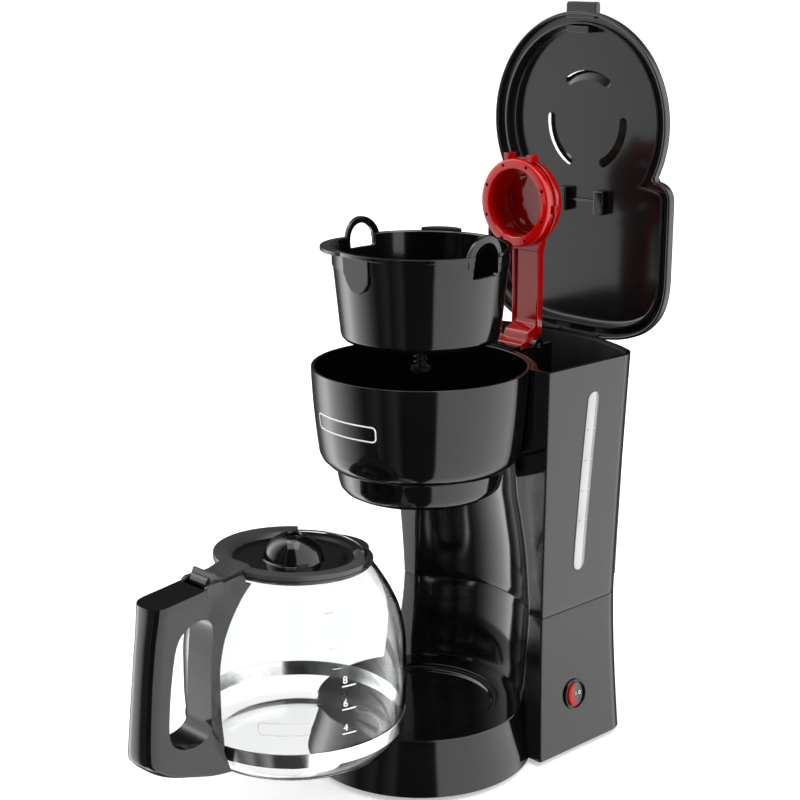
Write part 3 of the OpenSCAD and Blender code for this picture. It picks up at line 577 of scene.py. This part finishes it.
def about_y(obj):
    """Stands a lathed piece's axis along -Y at the ring's centre: its height is the distance forward."""
    return moved(obj, lambda x, up, forward: (x, ARM_Y * MM - forward, up + RING_Z * MM))


cup_profile = [(0.01, 10.4), (21.5, 10.4), (24.5, 9.6), (25.6, 7.0), (25.8, -5), (28.6, -5.4), (30.4, -5.2),
               (30.9, -4.4), (31.0, -1.2), (32.6, -1.0), (33.0, -0.4), (33.0, 2.4), (32.4, 3.0), (30.6, 3.2),
               (30.2, 4.2), (30.2, 7.8), (29.4, 9.2), (27.6, 10.2), (26.6, 11.6), (24.6, 12.3), (0.01, 12.3)]
cup = about_y(lathe("arm_cup", [(r, -y) for r, y in cup_profile], arm_red, closed=False, segments=120))
slots = []
for k in range(6):
    sine, cosine = math.sin(math.radians(30 + 60 * k)), math.cos(math.radians(30 + 60 * k))
    slots.append(prism("slot", rounded_outline(7.5, 2.4, 1.1, 4), arm_red,
                       lambda u, v, w: ((VENT_R + v) * sine + u * cosine, w,
                                        RING_Z + (VENT_R + v) * cosine - u * sine), 8, ARM_Y + 8))
cut(cup, *slots)
placed(bevelled(cup, 0.35, 2, 40), "arm", "red_plastic", "shower_arm")

STEM_HALF = 12.5
stem_profile = [(117.4, 372.5), (117.8, 340), (117.8, 312), (117.2, 305.5), (113.2, 301.4), (112.4, 297.2),
                (110.2, 294.6), (106.5, 294.0), (103.2, 295.2), (94.9, 295.4), (94.9, 299.6), (96.6, 301.2),
                (101.4, 302.2), (102.2, 306.6), (104.0, 309.0), (112.4, 312.6), (113.8, 316), (113.8, 340),
                (113.4, 373)]
stem = prism("arm_stem", stem_profile, arm_red, side_on, 2 * STEM_HALF - 2, -STEM_HALF + 1)
edge_profile = [(117.9, 374), (117.9, 310), (117.0, 304.6), (112.4, 304.6), (111.6, 312), (111.6, 340),
                (110.8, 374)]
edges = [prism("edge", edge_profile, arm_red, side_on, 2.2, x) for x in (-STEM_HALF - 0.2, STEM_HALF - 2.0)]
gusset_outline = [(-12.7, 368), (12.7, 368), (14.6, 375.6), (9, 379.4), (-9, 379.4), (-14.6, 375.6)]
gusset = prism("gusset", gusset_outline, arm_red, front_on, 8.2, 110.2)
hub = lathe("hub", [(2.2, -14.2), (5, -14.2), (5, 14.2), (2.2, 14.2)], arm_red, segments=48)
along_x(hub, ARM_Y, ARM_Z)
ears = [block("ear", (x, 100.4, 434.4), (x + 4.6, 109.4, 440.2), arm_red) for x in (-13.2, 8.6)]
notch = block("notch", (30.6, 103.0, 399.0), (34.6, 109.6, 405.4), arm_red)
arm_body = joined("arm_stem", stem, *edges, gusset, hub, *ears, notch)
placed(bevelled(arm_body, 0.55, 2, 35), "arm", "red_plastic")


def spray_spots(name, radius, material, depth, start):
    """Eight short round pegs in a circle on the ring's face."""
    pegs = []
    for k in range(8):
        across, up = polar(SPOT_R, 90 - 22.5 - 45 * k)
        outline = arc(across, RING_Z + up, radius, 0, 337.5, 15)
        pegs.append(prism(name, outline, material, front_on, depth, start))
    return pegs


face_profile = [(25.0, 5.6), (25.0, 9.4), (25.6, 10.0), (26.8, 10.1), (30.6, 10.1), (31.7, 9.7), (32.4, 8.8),
                (32.4, 6.2), (31.4, 5.6)]
face_ring = about_y(lathe("arm_face_ring", face_profile, ring_red))
cut(face_ring, *spray_spots("spot", 1.35, ring_red, 3.2, ARM_Y - 10.6))
placed(bevelled(face_ring, 0.25, 2, 40), "arm", "red_plastic", "shower_ring")
# the dark rubber discs inside the blind spray holes are painted shade, standing for the depth of the holes
painted_hole_shade = joined("arm_spray_hole_painted_shade", *spray_spots("painted_hole_shade", 1.33, rubber_and_hole_shade, 0.6, ARM_Y - 8.8))
placed(painted_hole_shade, "arm", "rubber_black")

# ---- lid, built shut and turned open ----

LID_R, LID_Z, LID_SIDE, LID_CORNER, LID_NECK = 82, 300.4, 88.5, 14, 38
LID_REAR_Y, LID_REAR_START, LID_POWER = 164, 102, 3
HINGE_Y, HINGE_Z = 163, 295.5


def opened(obj):
    """Turns a piece built on the shut lid to the standing lid."""
    return moved(obj, lambda x, y, z: (x, z + (HINGE_Y - HINGE_Z) * MM, (HINGE_Y + HINGE_Z) * MM - y))


def lid_loop(inset, z):
    """Outline of the lid: round over the bowl, stepped out to the sides, squarish at the rear."""
    r = LID_R - inset
    corner = max(LID_CORNER - inset, 3)
    neck = math.degrees(math.asin(min(1, (LID_NECK - 3 + inset) / r)))
    half = arc(0, 0, r, -90, neck, 72)
    half += arc(LID_SIDE - inset - corner, LID_NECK + inset + corner, corner, -90, 0, 10)
    for i in range(1, 29):
        a = math.radians(90 * i / 28)
        half.append(((LID_SIDE - inset) * max(math.cos(a), 0) ** (2 / LID_POWER),
                     LID_REAR_START + (LID_REAR_Y - LID_REAR_START - inset) * math.sin(a) ** (2 / LID_POWER)))
    return [(x, y, LID_Z + z) for x, y in mirrored(half)]


# (inset, height) down the outside and up the inside of the lid
LID_OUTER = [(20, 15.4), (16, 14.7), (12, 13.7), (9, 12.7), (6, 11.5), (3.8, 10.2), (2, 8.6), (0.6, 6.6),
             (0, 4.6), (0, 0.7), (0.2, 0.2), (0.7, 0)]
LID_INNER = [(1.4, 0), (2.0, 0.3), (2.3, 0.9), (2.6, 4.4), (3.2, 5.1), (7.2, 5.2), (7.8, 4.9), (8.0, 2.5),
             (8.5, 2.0), (9.4, 2.0), (9.8, 2.5), (10.0, 4.5), (10.3, 7.5), (10.7, 10.6), (11.3, 11.8),
             (12.6, 12.2)]
lid = loft("lid_shell_open", [lid_loop(inset, z) for inset, z in LID_OUTER + LID_INNER], lid_black)
# the steam slots lean outwards, so light comes through one side of each only
SLOT_IN, SLOT_OUT, SLOT_HALF, SLOT_LEAN = 31, 38, 32, 7


def slot_loop(middle, lean, z):
    """A bent slot with round ends, moved out by lean."""
    inner, outer = SLOT_IN + lean, SLOT_OUT + lean
    mid_r, end_r = (inner + outer) / 2, (outer - inner) / 2
    a0, a1 = middle - SLOT_HALF, middle + SLOT_HALF
    pts = arc(0, 0, outer, a0, a1, 22)
    pts += arc(*polar(mid_r, a1), end_r, a1, a1 + 180, 8)[1:-1]
    pts += arc(0, 0, inner, a1, a0, 22)
    pts += arc(*polar(mid_r, a0), end_r, a0 + 180, a0 + 360, 8)[1:-1]
    return [(x, y, LID_Z + z) for x, y in pts]


SLOT_LEVELS = [(0, 10.0), (0, 12.3), (SLOT_LEAN, 15.3), (SLOT_LEAN, 17)]
vents = [loft("slot", [slot_loop(middle, lean, z) for lean, z in SLOT_LEVELS], lid_black)
         for middle in (-90, 30, 150)]
cut(lid, *vents)
opened(lid)
placed(bevelled(lid, 0.4, 2, 50), "lid", "satin_black", "lid_shell")

lid_bits = [
    prism("tab", rounded_outline(28, 12, 2.2, 4), lid_black, lambda u, v, w: (u, v - LID_R - 0.5, w), 5.5,
          LID_Z + 1.5),
    block("catch", (-13, -71, LID_Z + 2), (7, -66, LID_Z + 11.8), lid_black),
]
KNUCKLE_IN, KNUCKLE_OUT, CLIP_IN, CLIP_OUT = 12.2, 26.8, 13.6, 22.6
knuckle_section = [(1.8, KNUCKLE_IN), (3.4, KNUCKLE_IN), (3.4, KNUCKLE_OUT), (1.8, KNUCKLE_OUT)]
for side in (-1, 1):
    knuckle = lathe("knuckle", knuckle_section, lid_black, segments=40)
    web_low, web_high = sorted((side * KNUCKLE_IN, side * KNUCKLE_OUT))
    web = block("web", (web_low, HINGE_Y - 2.6, HINGE_Z + 1.8), (web_high, HINGE_Y + 0.8, LID_Z + 4),
                lid_black)
    lid_bits += [along_x(knuckle, HINGE_Y, HINGE_Z, side), web]
lid_trim = joined("lid_tab_and_knuckles", *lid_bits)
placed(bevelled(opened(lid_trim), 0.6, 3, 40), "lid", "satin_black")

clip_parts = []
for side in (-1, 1):
    low, high = sorted((side * CLIP_IN, side * CLIP_OUT))
    clip_parts.append(block("clip", (low, 51, LID_Z + 4.8), (high, 69, LID_Z + 12.4), gloss_black))
rod = lathe("rod", [(0.01, -14.5), (1.1, -14.5), (1.1, 14.5), (0.01, 14.5)], gloss_black, closed=False,
            segments=24)
clips = joined("lid_clip_pair", *clip_parts, along_x(rod, 60, LID_Z + 10.9))
placed(bevelled(opened(clips), 1.0, 3, 40), "lid", "satin_black", "lid_clips")

# ---- basket ----

WALL_LOW_R, WALL_LOW, WALL_HIGH_R, WALL_HIGH, FLANGE_R = 56.7, 324.4, 61.6, 371.6, 62.5
basket_profile = [(4, 320), (52.4, 320), (54.6, 320.5), (56.0, 322), (WALL_LOW_R, WALL_LOW),
                  (WALL_HIGH_R, WALL_HIGH), (FLANGE_R, 373.0), (FLANGE_R, 382.7), (63.6, 382.9), (64, 383.4),
                  (64, 385.1), (63.5, 385.7), (60.6, 385.7), (59.9, 385.0), (59.6, 379.6), (58.8, 371),
                  (54.4, 323.4), (53, 322.2), (4, 322.2)]
basket = lathe("basket_cup", basket_profile, gloss_black, segments=160)
LOOP_R, LOOP_Z, OPENING_R = 14.2, 382.4, 12.4
for start, low in ((-80, 376.7), (0, 370.0)):  # the opening on the left is the shallower one
    opening = arc(0, LOOP_Z, OPENING_R, 0, 180, 16)
    opening += arc(-9.9, low + 2.5, 2.5, 180, 270, 4) + arc(9.9, low + 2.5, 2.5, 270, 360, 4)
    cut(basket, prism("window", opening, gloss_black, side_on, 80, start))
placed(bevelled(basket, 0.35, 2, 40), "basket", "gloss_black", "basket")


def on_wall(side, y, z, r):
    return (side * math.sqrt(r * r - y * y), y, z)


def finger_loop(side):
    """A flat strap bent round the opening, on the wall's curve."""
    path = [(LOOP_R, 378)] + arc(0, LOOP_Z, LOOP_R, 0, 180, 28) + [(-LOOP_R, 378)]
    sections = []
    for i, (y, z) in enumerate(path):
        y0, z0 = path[max(i - 1, 0)]
        y1, z1 = path[min(i + 1, len(path) - 1)]
        length = math.hypot(y1 - y0, z1 - z0)
        ny, nz = (z1 - z0) / length, -(y1 - y0) / length
        sections.append([on_wall(side, y + ny * across, z + nz * across, r)
                         for across, r in ((-2.4, 60.2), (-2.4, 63.0), (2.4, 63.0), (2.4, 60.2))])
    return loft("loop", sections, gloss_black)


finger_loops = joined("basket_finger_loops", finger_loop(-1), finger_loop(1))
placed(bevelled(finger_loops, 0.5, 3, 40), "basket", "gloss_black")


def crescent(reach, half_angle, middle):
    """Outline of a thumb tab that grows out of the flange."""
    pts = []
    for k in range(25):
        a = -half_angle + 2 * half_angle * k / 24
        swell = max(math.cos(math.radians(90 * a / half_angle)), 0) ** 0.55
        pts.append(polar(FLANGE_R + (reach - FLANGE_R) * swell, middle + a))
    return pts + arc(0, 0, 61.8, middle + half_angle, middle - half_angle, 24)


tabs = joined("basket_tabs", prism("tab", crescent(70.8, 32, -136), satin_black, flat, 2.6, 382.9),
              prism("tab", crescent(70, 14, 120), satin_black, flat, 3.2, 384.6))
placed(bevelled(tabs, 0.5, 3, 40), "basket", "gloss_black")

# shield-shaped pad on the front wall, as (azimuth, height)
pad_outline = [(-102.5, 384), (-80, 384), (-79.6, 372), (-80.4, 366.5), (-83.4, 361.6), (-88, 359.2),
               (-93, 360.8), (-98, 366), (-101.4, 372)]


def wall_r(z):
    if z >= WALL_HIGH:
        return FLANGE_R
    return WALL_LOW_R + (WALL_HIGH_R - WALL_LOW_R) * (z - WALL_LOW) / (WALL_HIGH - WALL_LOW)


def pad_point(azimuth, z, up):
    """On the wall behind, upright in front."""
    base = max(62.2, wall_r(z)) if up > 0 else wall_r(z)
    return (*polar(base + up, azimuth), z)


pad = prism("basket_front_pad", dense(pad_outline, 2.0), gloss_black, pad_point, 2.1, -0.6)
placed(bevelled(pad, 0.4, 2, 50), "basket", "gloss_black")

# ---- carafe ----

CARAFE_Y, CARAFE_Z = -123, 53.5
at_carafe = (0, CARAFE_Y, CARAFE_Z)
GLASS_WALL, GLASS_FLOOR, GLASS_R = 1.9, 3.6, 76.6
GLASS = [(60, 0), (66.5, 0.8), (69.5, 3.5), (72.3, 8.5), (74.2, 15), (75.6, 25), (GLASS_R, 38), (76.7, 49),
         (GLASS_R, 60), (76.3, 73), (74.9, 84), (72.1, 95.5), (68.9, 103), (65.3, 110), (58.5, 121),
         (53.4, 127.4), (50.6, 130), (49.8, 132), (49.8, 135.4)]
glass_line = smooth_line(GLASS)
inner_line = []
for i in range(len(glass_line) - 1, -1, -1):
    (r0, z0), (r1, z1) = glass_line[max(i - 1, 0)], glass_line[min(i + 1, len(glass_line) - 1)]
    length = math.hypot(r1 - r0, z1 - z0)
    r, z = glass_line[i]
    inner_line.append((r - GLASS_WALL * (z1 - z0) / length,
                       max(z + GLASS_WALL * (r1 - r0) / length, GLASS_FLOOR)))
bottom_out = [(0.01, 1.6), (40, 1.5), (52, 1.2), (56, 0.4)]
bottom_in = [(56, GLASS_FLOOR), (40, 3.7), (0.01, 3.8)]
glass_body = lathe("carafe_glass_body", bottom_out + glass_line + inner_line + bottom_in, glass, closed=False,
                   segments=192, centre=at_carafe)
placed(glass_body, "carafe", "clear_glass", "carafe_glass")

band_profile = [(74.35, 13.5), (75.1, 13.4), (75.5, 14.0), (76.5, 23.2), (76.4, 24.0), (75.8, 24.1),
                (74.9, 18)]
band = lathe("carafe_steel_band", band_profile, band_metal, segments=192, centre=at_carafe)
placed(bevelled(band, 0.15, 2, 40), "carafe", "steel_band", "carafe_band")
glass_heights = [(z, r) for r, z in glass_line if z > 2]


def in_carafe(x, y, z):
    return (x, y + CARAFE_Y, z + CARAFE_Z)


def carafe_side(u, v, w):
    """A side outline of (y, z) about the carafe's axis."""
    return in_carafe(w, u, v)


def glass_r(z):
    return lerp_table(glass_heights, z)


def on_glass(azimuth, z, proud):
    return in_carafe(*polar(glass_r(z) + proud, azimuth), z)


def glass_bar(a0, a1, z, thick, material):
    """A level raised line that follows the glass."""
    section = [(z - thick / 2, 0.03), (z - thick / 2, 0.18), (z + thick / 2, 0.18), (z + thick / 2, 0.03)]
    return loft("line", [[on_glass(a0 + (a1 - a0) * i / 10, height, proud) for height, proud in section]
                         for i in range(11)], material)


DIGIT_HEIGHT = 0.7  # how high a digit is for a font size of 1


def glass_digit(digit, azimuth, z, height, material):
    """A cup number as thin raised ink that follows the glass."""
    text = bpy.data.curves.new("digit", "FONT")
    text.body = digit
    text.size = height / DIGIT_HEIGHT
    text.align_x = "CENTER"
    text.extrude = 0.08
    scratch = bpy.data.objects.new("digit", text)
    bpy.context.scene.collection.objects.link(scratch)
    graph = bpy.context.evaluated_depsgraph_get()
    mesh = bpy.data.meshes.new_from_object(scratch.evaluated_get(graph))
    bpy.data.objects.remove(scratch)
    bpy.data.curves.remove(text)
    for v in mesh.vertices:
        u, h, w = v.co
        x, y, zz = on_glass(azimuth + math.degrees(u / glass_r(z)), z + h, 0.1 + w)
        v.co = (x * MM, y * MM, zz * MM)
    mesh.materials.clear()
    mesh.materials.append(material)
    obj = bpy.data.objects.new("digit", mesh)
    bpy.context.scene.collection.objects.link(obj)
    return obj


marks = []
for digit, z in (("4", 34.9), ("6", 52.3), ("8", 68.5)):
    marks += [glass_bar(-18.2, -10.6, z, 0.9, white_ink), glass_digit(digit, -16.4, z + 2.0, 5.0, white_ink)]
placed(joined("carafe_cup_marks", *marks), "carafe", "badge_silver")
faint = joined("carafe_faint_marks", *[glass_bar(-23, -17.6, z, 0.5, glass) for z in (94.6, 115.3, 81.5)])
placed(faint, "carafe", "clear_glass")

GLASS_BADGE_A, GLASS_BADGE_Z = -47.3, 42
glass_badge = frame_on("carafe_badge_frame",
                       lambda u, v, up: on_glass(GLASS_BADGE_A + math.degrees(u / GLASS_R), GLASS_BADGE_Z + v,
                                                 up * 0.5 + 0.1),
                       34, 8.6, 2.6, 0.8, 0.3, grey_ink)
placed(glass_badge, "carafe", "badge_silver")

DIP = 0.04


def dipped(obj):
    """Lets the carafe's lid and collar slope down from the handle towards the spout."""
    start = (CARAFE_Y - 54) * MM
    return moved(obj, lambda x, y, z: (x, y, z - DIP * max(y - start, 0)))


def spout_section(k):
    """The pouring lip's section, swelling towards the middle of its 24 steps."""
    swell = math.cos(math.radians(90 * (k / 12 - 1))) ** 0.8 if 0 < k < 24 else 0
    reach = 54.0 + 6.4 * swell
    section = [(51.5, 133.8), (54 + 2.0 * swell, 132.8 + 0.2 * swell), (reach, 134.6),
               (reach + 0.1, 136.4 - 0.4 * swell), (reach - 1.2, 136.8 - 0.4 * swell), (52, 137.2)]
    return [in_carafe(*polar(r, 90 + 24 * (k / 12 - 1)), z) for r, z in section]


def carafe_block(name, low, high, material):
    return block(name, in_carafe(*low), in_carafe(*high), material)


collar_profile = [(50.0, 135.4), (50.0, 133.8), (52.2, 133.2), (53.4, 133.8), (54.1, 135.4), (54.4, 136.0),
                  (54.0, 136.4), (50.2, 136.4)]
collar = lathe("collar", collar_profile, satin_black, centre=at_carafe)
lip = loft("lip", [spout_section(k) for k in range(25)], satin_black)
strap = prism("strap", rounded_outline(22, 22, 2, 3), satin_black,
              lambda u, v, w: in_carafe(u, v - 62, w), 3.4, 132.4)
clamp = carafe_block("clamp", (-11, -60.5, 126.5), (11, -54.4, 134), satin_black)
collar = joined("carafe_collar_ring", collar, lip, strap, clamp)
placed(bevelled(dipped(collar), 0.4, 2, 40), "carafe", "satin_black", "carafe_collar")

# carafe lid: a raised rim that stops either side of the spout, a recess and a dome with its hole
LID_RIM_A0, LID_RIM_A1 = 135, 422
lid_plate = [(5.4, 150.9), (6.0, 151.7), (7.2, 151.7), (9.4, 150.9), (12.6, 148.9), (15.6, 146.2),
             (18.0, 142.8), (19.8, 138.8), (20.6, 135.6), (21.6, 134.7), (24, 134.6), (36, 134.6),
             (39.5, 134.9), (41.6, 136.0), (43.6, 137.2), (45.2, 138.0), (46.4, 138.4), (46.9, 138.1)]
lid_under = [(46.8, 131.2), (45, 131), (44.2, 134.6), (39, 132.6), (20, 132.6), (18.4, 134.6), (17.6, 138.2),
             (15.4, 142), (12, 145.6), (8.8, 148.2), (5.4, 149.2)]
lid_top = lathe("carafe_lid_top", lid_plate + lid_under, gloss_black, segments=160, centre=at_carafe)
rim_profile = [(41.2, 136.0), (42.6, 138.2), (44.6, 139.6), (47.2, 140.2), (53.4, 140.3), (54.1, 139.9),
               (54.3, 139.3), (54.3, 136.7), (46, 136.7)]
raised_rim = lathe("rim", rim_profile, rim_black, segments=140, centre=at_carafe,
                   sweep=(LID_RIM_A0, LID_RIM_A1))
# the flange is cut away over the spout, and its front end runs out to a point
flange_end = [(44.5, 56), (47, 45), (49.2, 35), (51.6, 26), (54.6, 16)]
spout_cut = arc(0, 0, 62, 12, 134, 40) + arc(0, 0, 40, 134, 60, 30) + [polar(r, a) for r, a in flange_end]
cut(raised_rim, prism("spout_cut", spout_cut, rim_black, in_carafe, 20, 128))
lever_profile = [(-80.4, 135.6), (-79.6, 140.5), (-78.0, 143.9), (-76.8, 144.3), (-75.6, 143.4),
                 (-74.2, 141.4), (-72, 140.0), (-69, 139.5), (-65.5, 139.9), (-62, 140.9), (-50.5, 143.8),
                 (-47.5, 143.0), (-46, 140.2), (-46, 138.8), (-52, 138.4), (-68, 136.8), (-72, 134.2),
                 (-78, 133.4)]
lever = prism("lever", lever_profile, rim_black, carafe_side, 20, -10)
barrel = lathe("barrel", [(1.7, -8), (4.6, -8), (4.6, 8), (1.7, 8)], satin_black, segments=40)
along_x(barrel, CARAFE_Y - 78, CARAFE_Z + 137)
dome_foot = carafe_block("dome_foot", (13.5, -12.5, 134.6), (21.5, -5.5, 136.6), satin_black)
carafe_top = joined("carafe_lid_top", lid_top, raised_rim, lever, barrel, dome_foot)
placed(bevelled(dipped(carafe_top), 0.4, 3, 35), "carafe_lid", "satin_black", "carafe_lid")

# handle: level sections with a rounded outer face, then the grip hole and the room for the glass
HANDLE_OUT = smooth_line([(4, 76), (6, 90), (8.5, 99), (11, 107), (14.5, 118), (18, 125.5), (22.5, 131.5),
                          (27, 136), (32, 138), (50, 136.6), (73, 134.2), (100, 131), (118, 128.4),
                          (128, 127.2), (134, 126.4), (142, 125.4)])
HANDLE_HALF = [(4, 15.5), (20, 14.2), (45, 12.8), (80, 12), (112, 12.2), (128, 13.4)]


def handle_section(z, out):
    half, inner = lerp_table(HANDLE_HALF, z), 48
    depth = min(11.5, (out - inner) * 0.5)
    pts = [(half, -inner), (half, -(inner + out - depth) / 2)]
    for k in range(13):
        a = math.radians(90 * k / 12)
        pts.append((half * math.cos(a) ** 0.75, -(out - depth) - depth * math.sin(a) ** 0.85))
    left = [(-x, y) for x, y in pts[:-1]][::-1]
    return [in_carafe(x, y, z) for x, y in pts + left]


handle = loft("carafe_grip", [handle_section(z, h) for z, h in HANDLE_OUT], gloss_black)
glass_room = [(0.01, -5), (70, -5), (77.2, 20)] + [(r + 0.6, z) for r, z in glass_line if 25 < z < 131]
glass_room += [(55.2, 132), (55.2, 145), (0.01, 145)]
room = lathe("room", glass_room, gloss_black, closed=False, segments=128, centre=at_carafe)
strap_room = carafe_block("strap_room", (-11.4, -73.4, 132), (11.4, -40, 142), gloss_black)
grip_hole = smooth_line([(-84.5, 40), (-89, 34.5), (-98, 31.5), (-108, 32.6), (-115.5, 37), (-118.6, 45),
                         (-117.6, 62), (-114.8, 82), (-111.6, 99), (-107.5, 108.6), (-100, 114.6),
                         (-91.5, 116.6), (-84.6, 115), (-81, 109), (-81, 100), (-82.4, 88), (-83.6, 72),
                         (-84.2, 55), (-84.5, 40)])[:-1]
hole = prism("hole", grip_hole, gloss_black, carafe_side, 60, -30)
over = prism("over", [(-150, 129.6), (-50, 139.6), (-50, 160), (-150, 160)], gloss_black, carafe_side, 60,
             -30)
lever_room = carafe_block("lever_room", (-10.6, -86.6, 129), (10.6, -69, 150), gloss_black)
cut(handle, room, strap_room, hole, over, lever_room)
placed(bevelled(handle, 1.1, 3, 42), "carafe", "gloss_black", "carafe_handle")

cheek_profile = [(-70.5, 131), (-70.5, 137.0), (-72.5, 138.8), (-82.5, 138.8), (-85.6, 137.4), (-86.6, 131)]
cheeks = joined("carafe_lever_cheeks", *[prism("cheek", cheek_profile, satin_black, carafe_side, 3.0, x)
                                         for x in (-13.6, 10.6)])
placed(bevelled(cheeks, 0.8, 3, 40), "carafe", "satin_black")

# ---- CAD nodes that stay ----

kept = {
    "reservoir_tank": tank_black, "bottom_cover": satin_black, "feet": rubber_and_hole_shade, "cover_screws": steel,
    "plate_gasket": rubber_and_hole_shade, "heater_element": aluminium, "heater_bracket": steel, "thermostat": ceramic,
    "thermal_fuses": ceramic, "inlet_hose": silicone, "check_valve": silicone, "riser_tube": silicone,
    "wire_harness": wire_red, "cord_gland": rubber_and_hole_shade, "switch_body": satin_black, "arm_cradle": gloss_black,
    "arm_pin": steel, "lid_hinge_pins": steel, "drip_valve": valve_dark, "valve_spring": valve_dark,
    "valve_seal": rubber_and_hole_shade, "handle_screw": steel, "carafe_lid_pin": steel,
}
for name, material in kept.items():
    mesh = nodes[name].data
    mesh.materials.clear()
    mesh.materials.append(material)

# ---- stage ----

floor_mat = bpy.data.materials.new("floor_paper")
floor_mat.use_nodes = True
floor_bsdf = floor_mat.node_tree.nodes["Principled BSDF"]
floor_bsdf.inputs["Base Color"].default_value = (0.9, 0.9, 0.9, 1)
floor_bsdf.inputs["Roughness"].default_value = 0.8
floor_bsdf.inputs["Emission Color"].default_value = (1, 1, 1, 1)
floor_bsdf.inputs["Emission Strength"].default_value = 0.4
FLOOR_HALF = 6.0
corners = [(x * FLOOR_HALF, y * FLOOR_HALF, 0) for x, y in ((-1, -1), (1, -1), (1, 1), (-1, 1))]
floor_mesh = bpy.data.meshes.new("floor")
floor_mesh.from_pydata(corners, [], [(0, 1, 2, 3)])
floor_mesh.materials.append(floor_mat)
floor = bpy.data.objects.new("floor", floor_mesh)
bpy.context.scene.collection.objects.link(floor)
# gloss and glass see the studio through the floor, as over a sweep of paper
floor.visible_glossy = False
floor.visible_transmission = False

# The studio around the object: (azimuth, brightness), for gloss and soft light. Seen from the
# camera: a bright panel to the left, a dark gap in front, a wide softer panel to the right.
STUDIO = [(-180, 1.7), (-170, 3.4), (-163, 4.3), (-150, 3.0), (-136, 1.9), (-118, 0.5), (-108, 0.07),
          (-93, 0.26), (-86, 0.05), (-72, 0.3), (-66, 0.04), (-29, 0.05), (-27, 1.85), (20, 2.1), (45, 2.3),
          (68, 2.1), (82, 0.4), (95, 0.08), (130, 0.06), (152, 0.08), (163, 0.15), (172, 0.5), (180, 1.7)]
STUDIO_MAX = max(level for azimuth, level in STUDIO)
BACKDROP = 1.05
world = bpy.data.worlds.new("studio")
world.use_nodes = True
sky = world.node_tree
sky.nodes.clear()


def sky_node(kind, **settings):
    node = sky.nodes.new(kind)
    for key, value in settings.items():
        setattr(node, key, value)
    return node


def sky_math(operation, *values):
    """A maths node fed with numbers and sockets."""
    node = sky_node("ShaderNodeMath", operation=operation)
    for k, value in enumerate(values):
        if isinstance(value, (int, float)):
            node.inputs[k].default_value = value
        else:
            sky.links.new(value, node.inputs[k])
    return node.outputs[0]


direction = sky_node("ShaderNodeTexCoord")
split = sky_node("ShaderNodeSeparateXYZ")
sky.links.new(direction.outputs["Generated"], split.inputs[0])
heading = sky_math("ARCTAN2", split.outputs["Y"], split.outputs["X"])
turn_fraction = sky_math("ADD", sky_math("DIVIDE", heading, 2 * math.pi), 0.5)
ramp = sky_node("ShaderNodeValToRGB")
ramp.color_ramp.interpolation = "LINEAR"
stops = ramp.color_ramp.elements
for k, (azimuth, level) in enumerate(STUDIO):
    place = (azimuth + 180) / 360
    stop = stops[k] if k < 1 else stops[-1] if k == len(STUDIO) - 1 else stops.new(place)
    stop.position = place
    stop.color = (level / STUDIO_MAX,) * 3 + (1,)
sky.links.new(turn_fraction, ramp.inputs["Fac"])
# straight to the camera or through glass the backdrop is plain white; every bounce sees the studio
paths = sky_node("ShaderNodeLightPath")
direct = sky_math("MAXIMUM", paths.outputs["Is Camera Ray"], paths.outputs["Is Transmission Ray"])
bounces = sky_math("ADD", paths.outputs["Glossy Depth"], paths.outputs["Diffuse Depth"])
seen = sky_math("MULTIPLY", direct, sky_math("LESS_THAN", bounces, 0.5))
studio_light = sky_node("ShaderNodeBackground")
sky.links.new(ramp.outputs["Color"], studio_light.inputs["Color"])
studio_light.inputs["Strength"].default_value = STUDIO_MAX
backdrop = sky_node("ShaderNodeBackground")
backdrop.inputs["Color"].default_value = (1, 1, 1, 1)
backdrop.inputs["Strength"].default_value = BACKDROP
either = sky_node("ShaderNodeMixShader")
sky.links.new(seen, either.inputs[0])
sky.links.new(studio_light.outputs[0], either.inputs[1])
sky.links.new(backdrop.outputs[0], either.inputs[2])
world_out = sky_node("ShaderNodeOutputWorld")
sky.links.new(either.outputs[0], world_out.inputs["Surface"])
bpy.context.scene.world = world


def softbox(name, place, target, size, power):
    light = bpy.data.lights.new(name, "AREA")
    light.shape = "RECTANGLE"
    light.size, light.size_y = size
    light.energy = power
    lamp = bpy.data.objects.new(name, light)
    lamp.location = place
    lamp.rotation_euler = (Vector(target) - Vector(place)).to_track_quat("-Z", "Y").to_euler()
    bpy.context.scene.collection.objects.link(lamp)


softbox("top_box", (0.2, -0.2, 1.8), (0, 0, 0.2), (1.2, 1.2), 12)
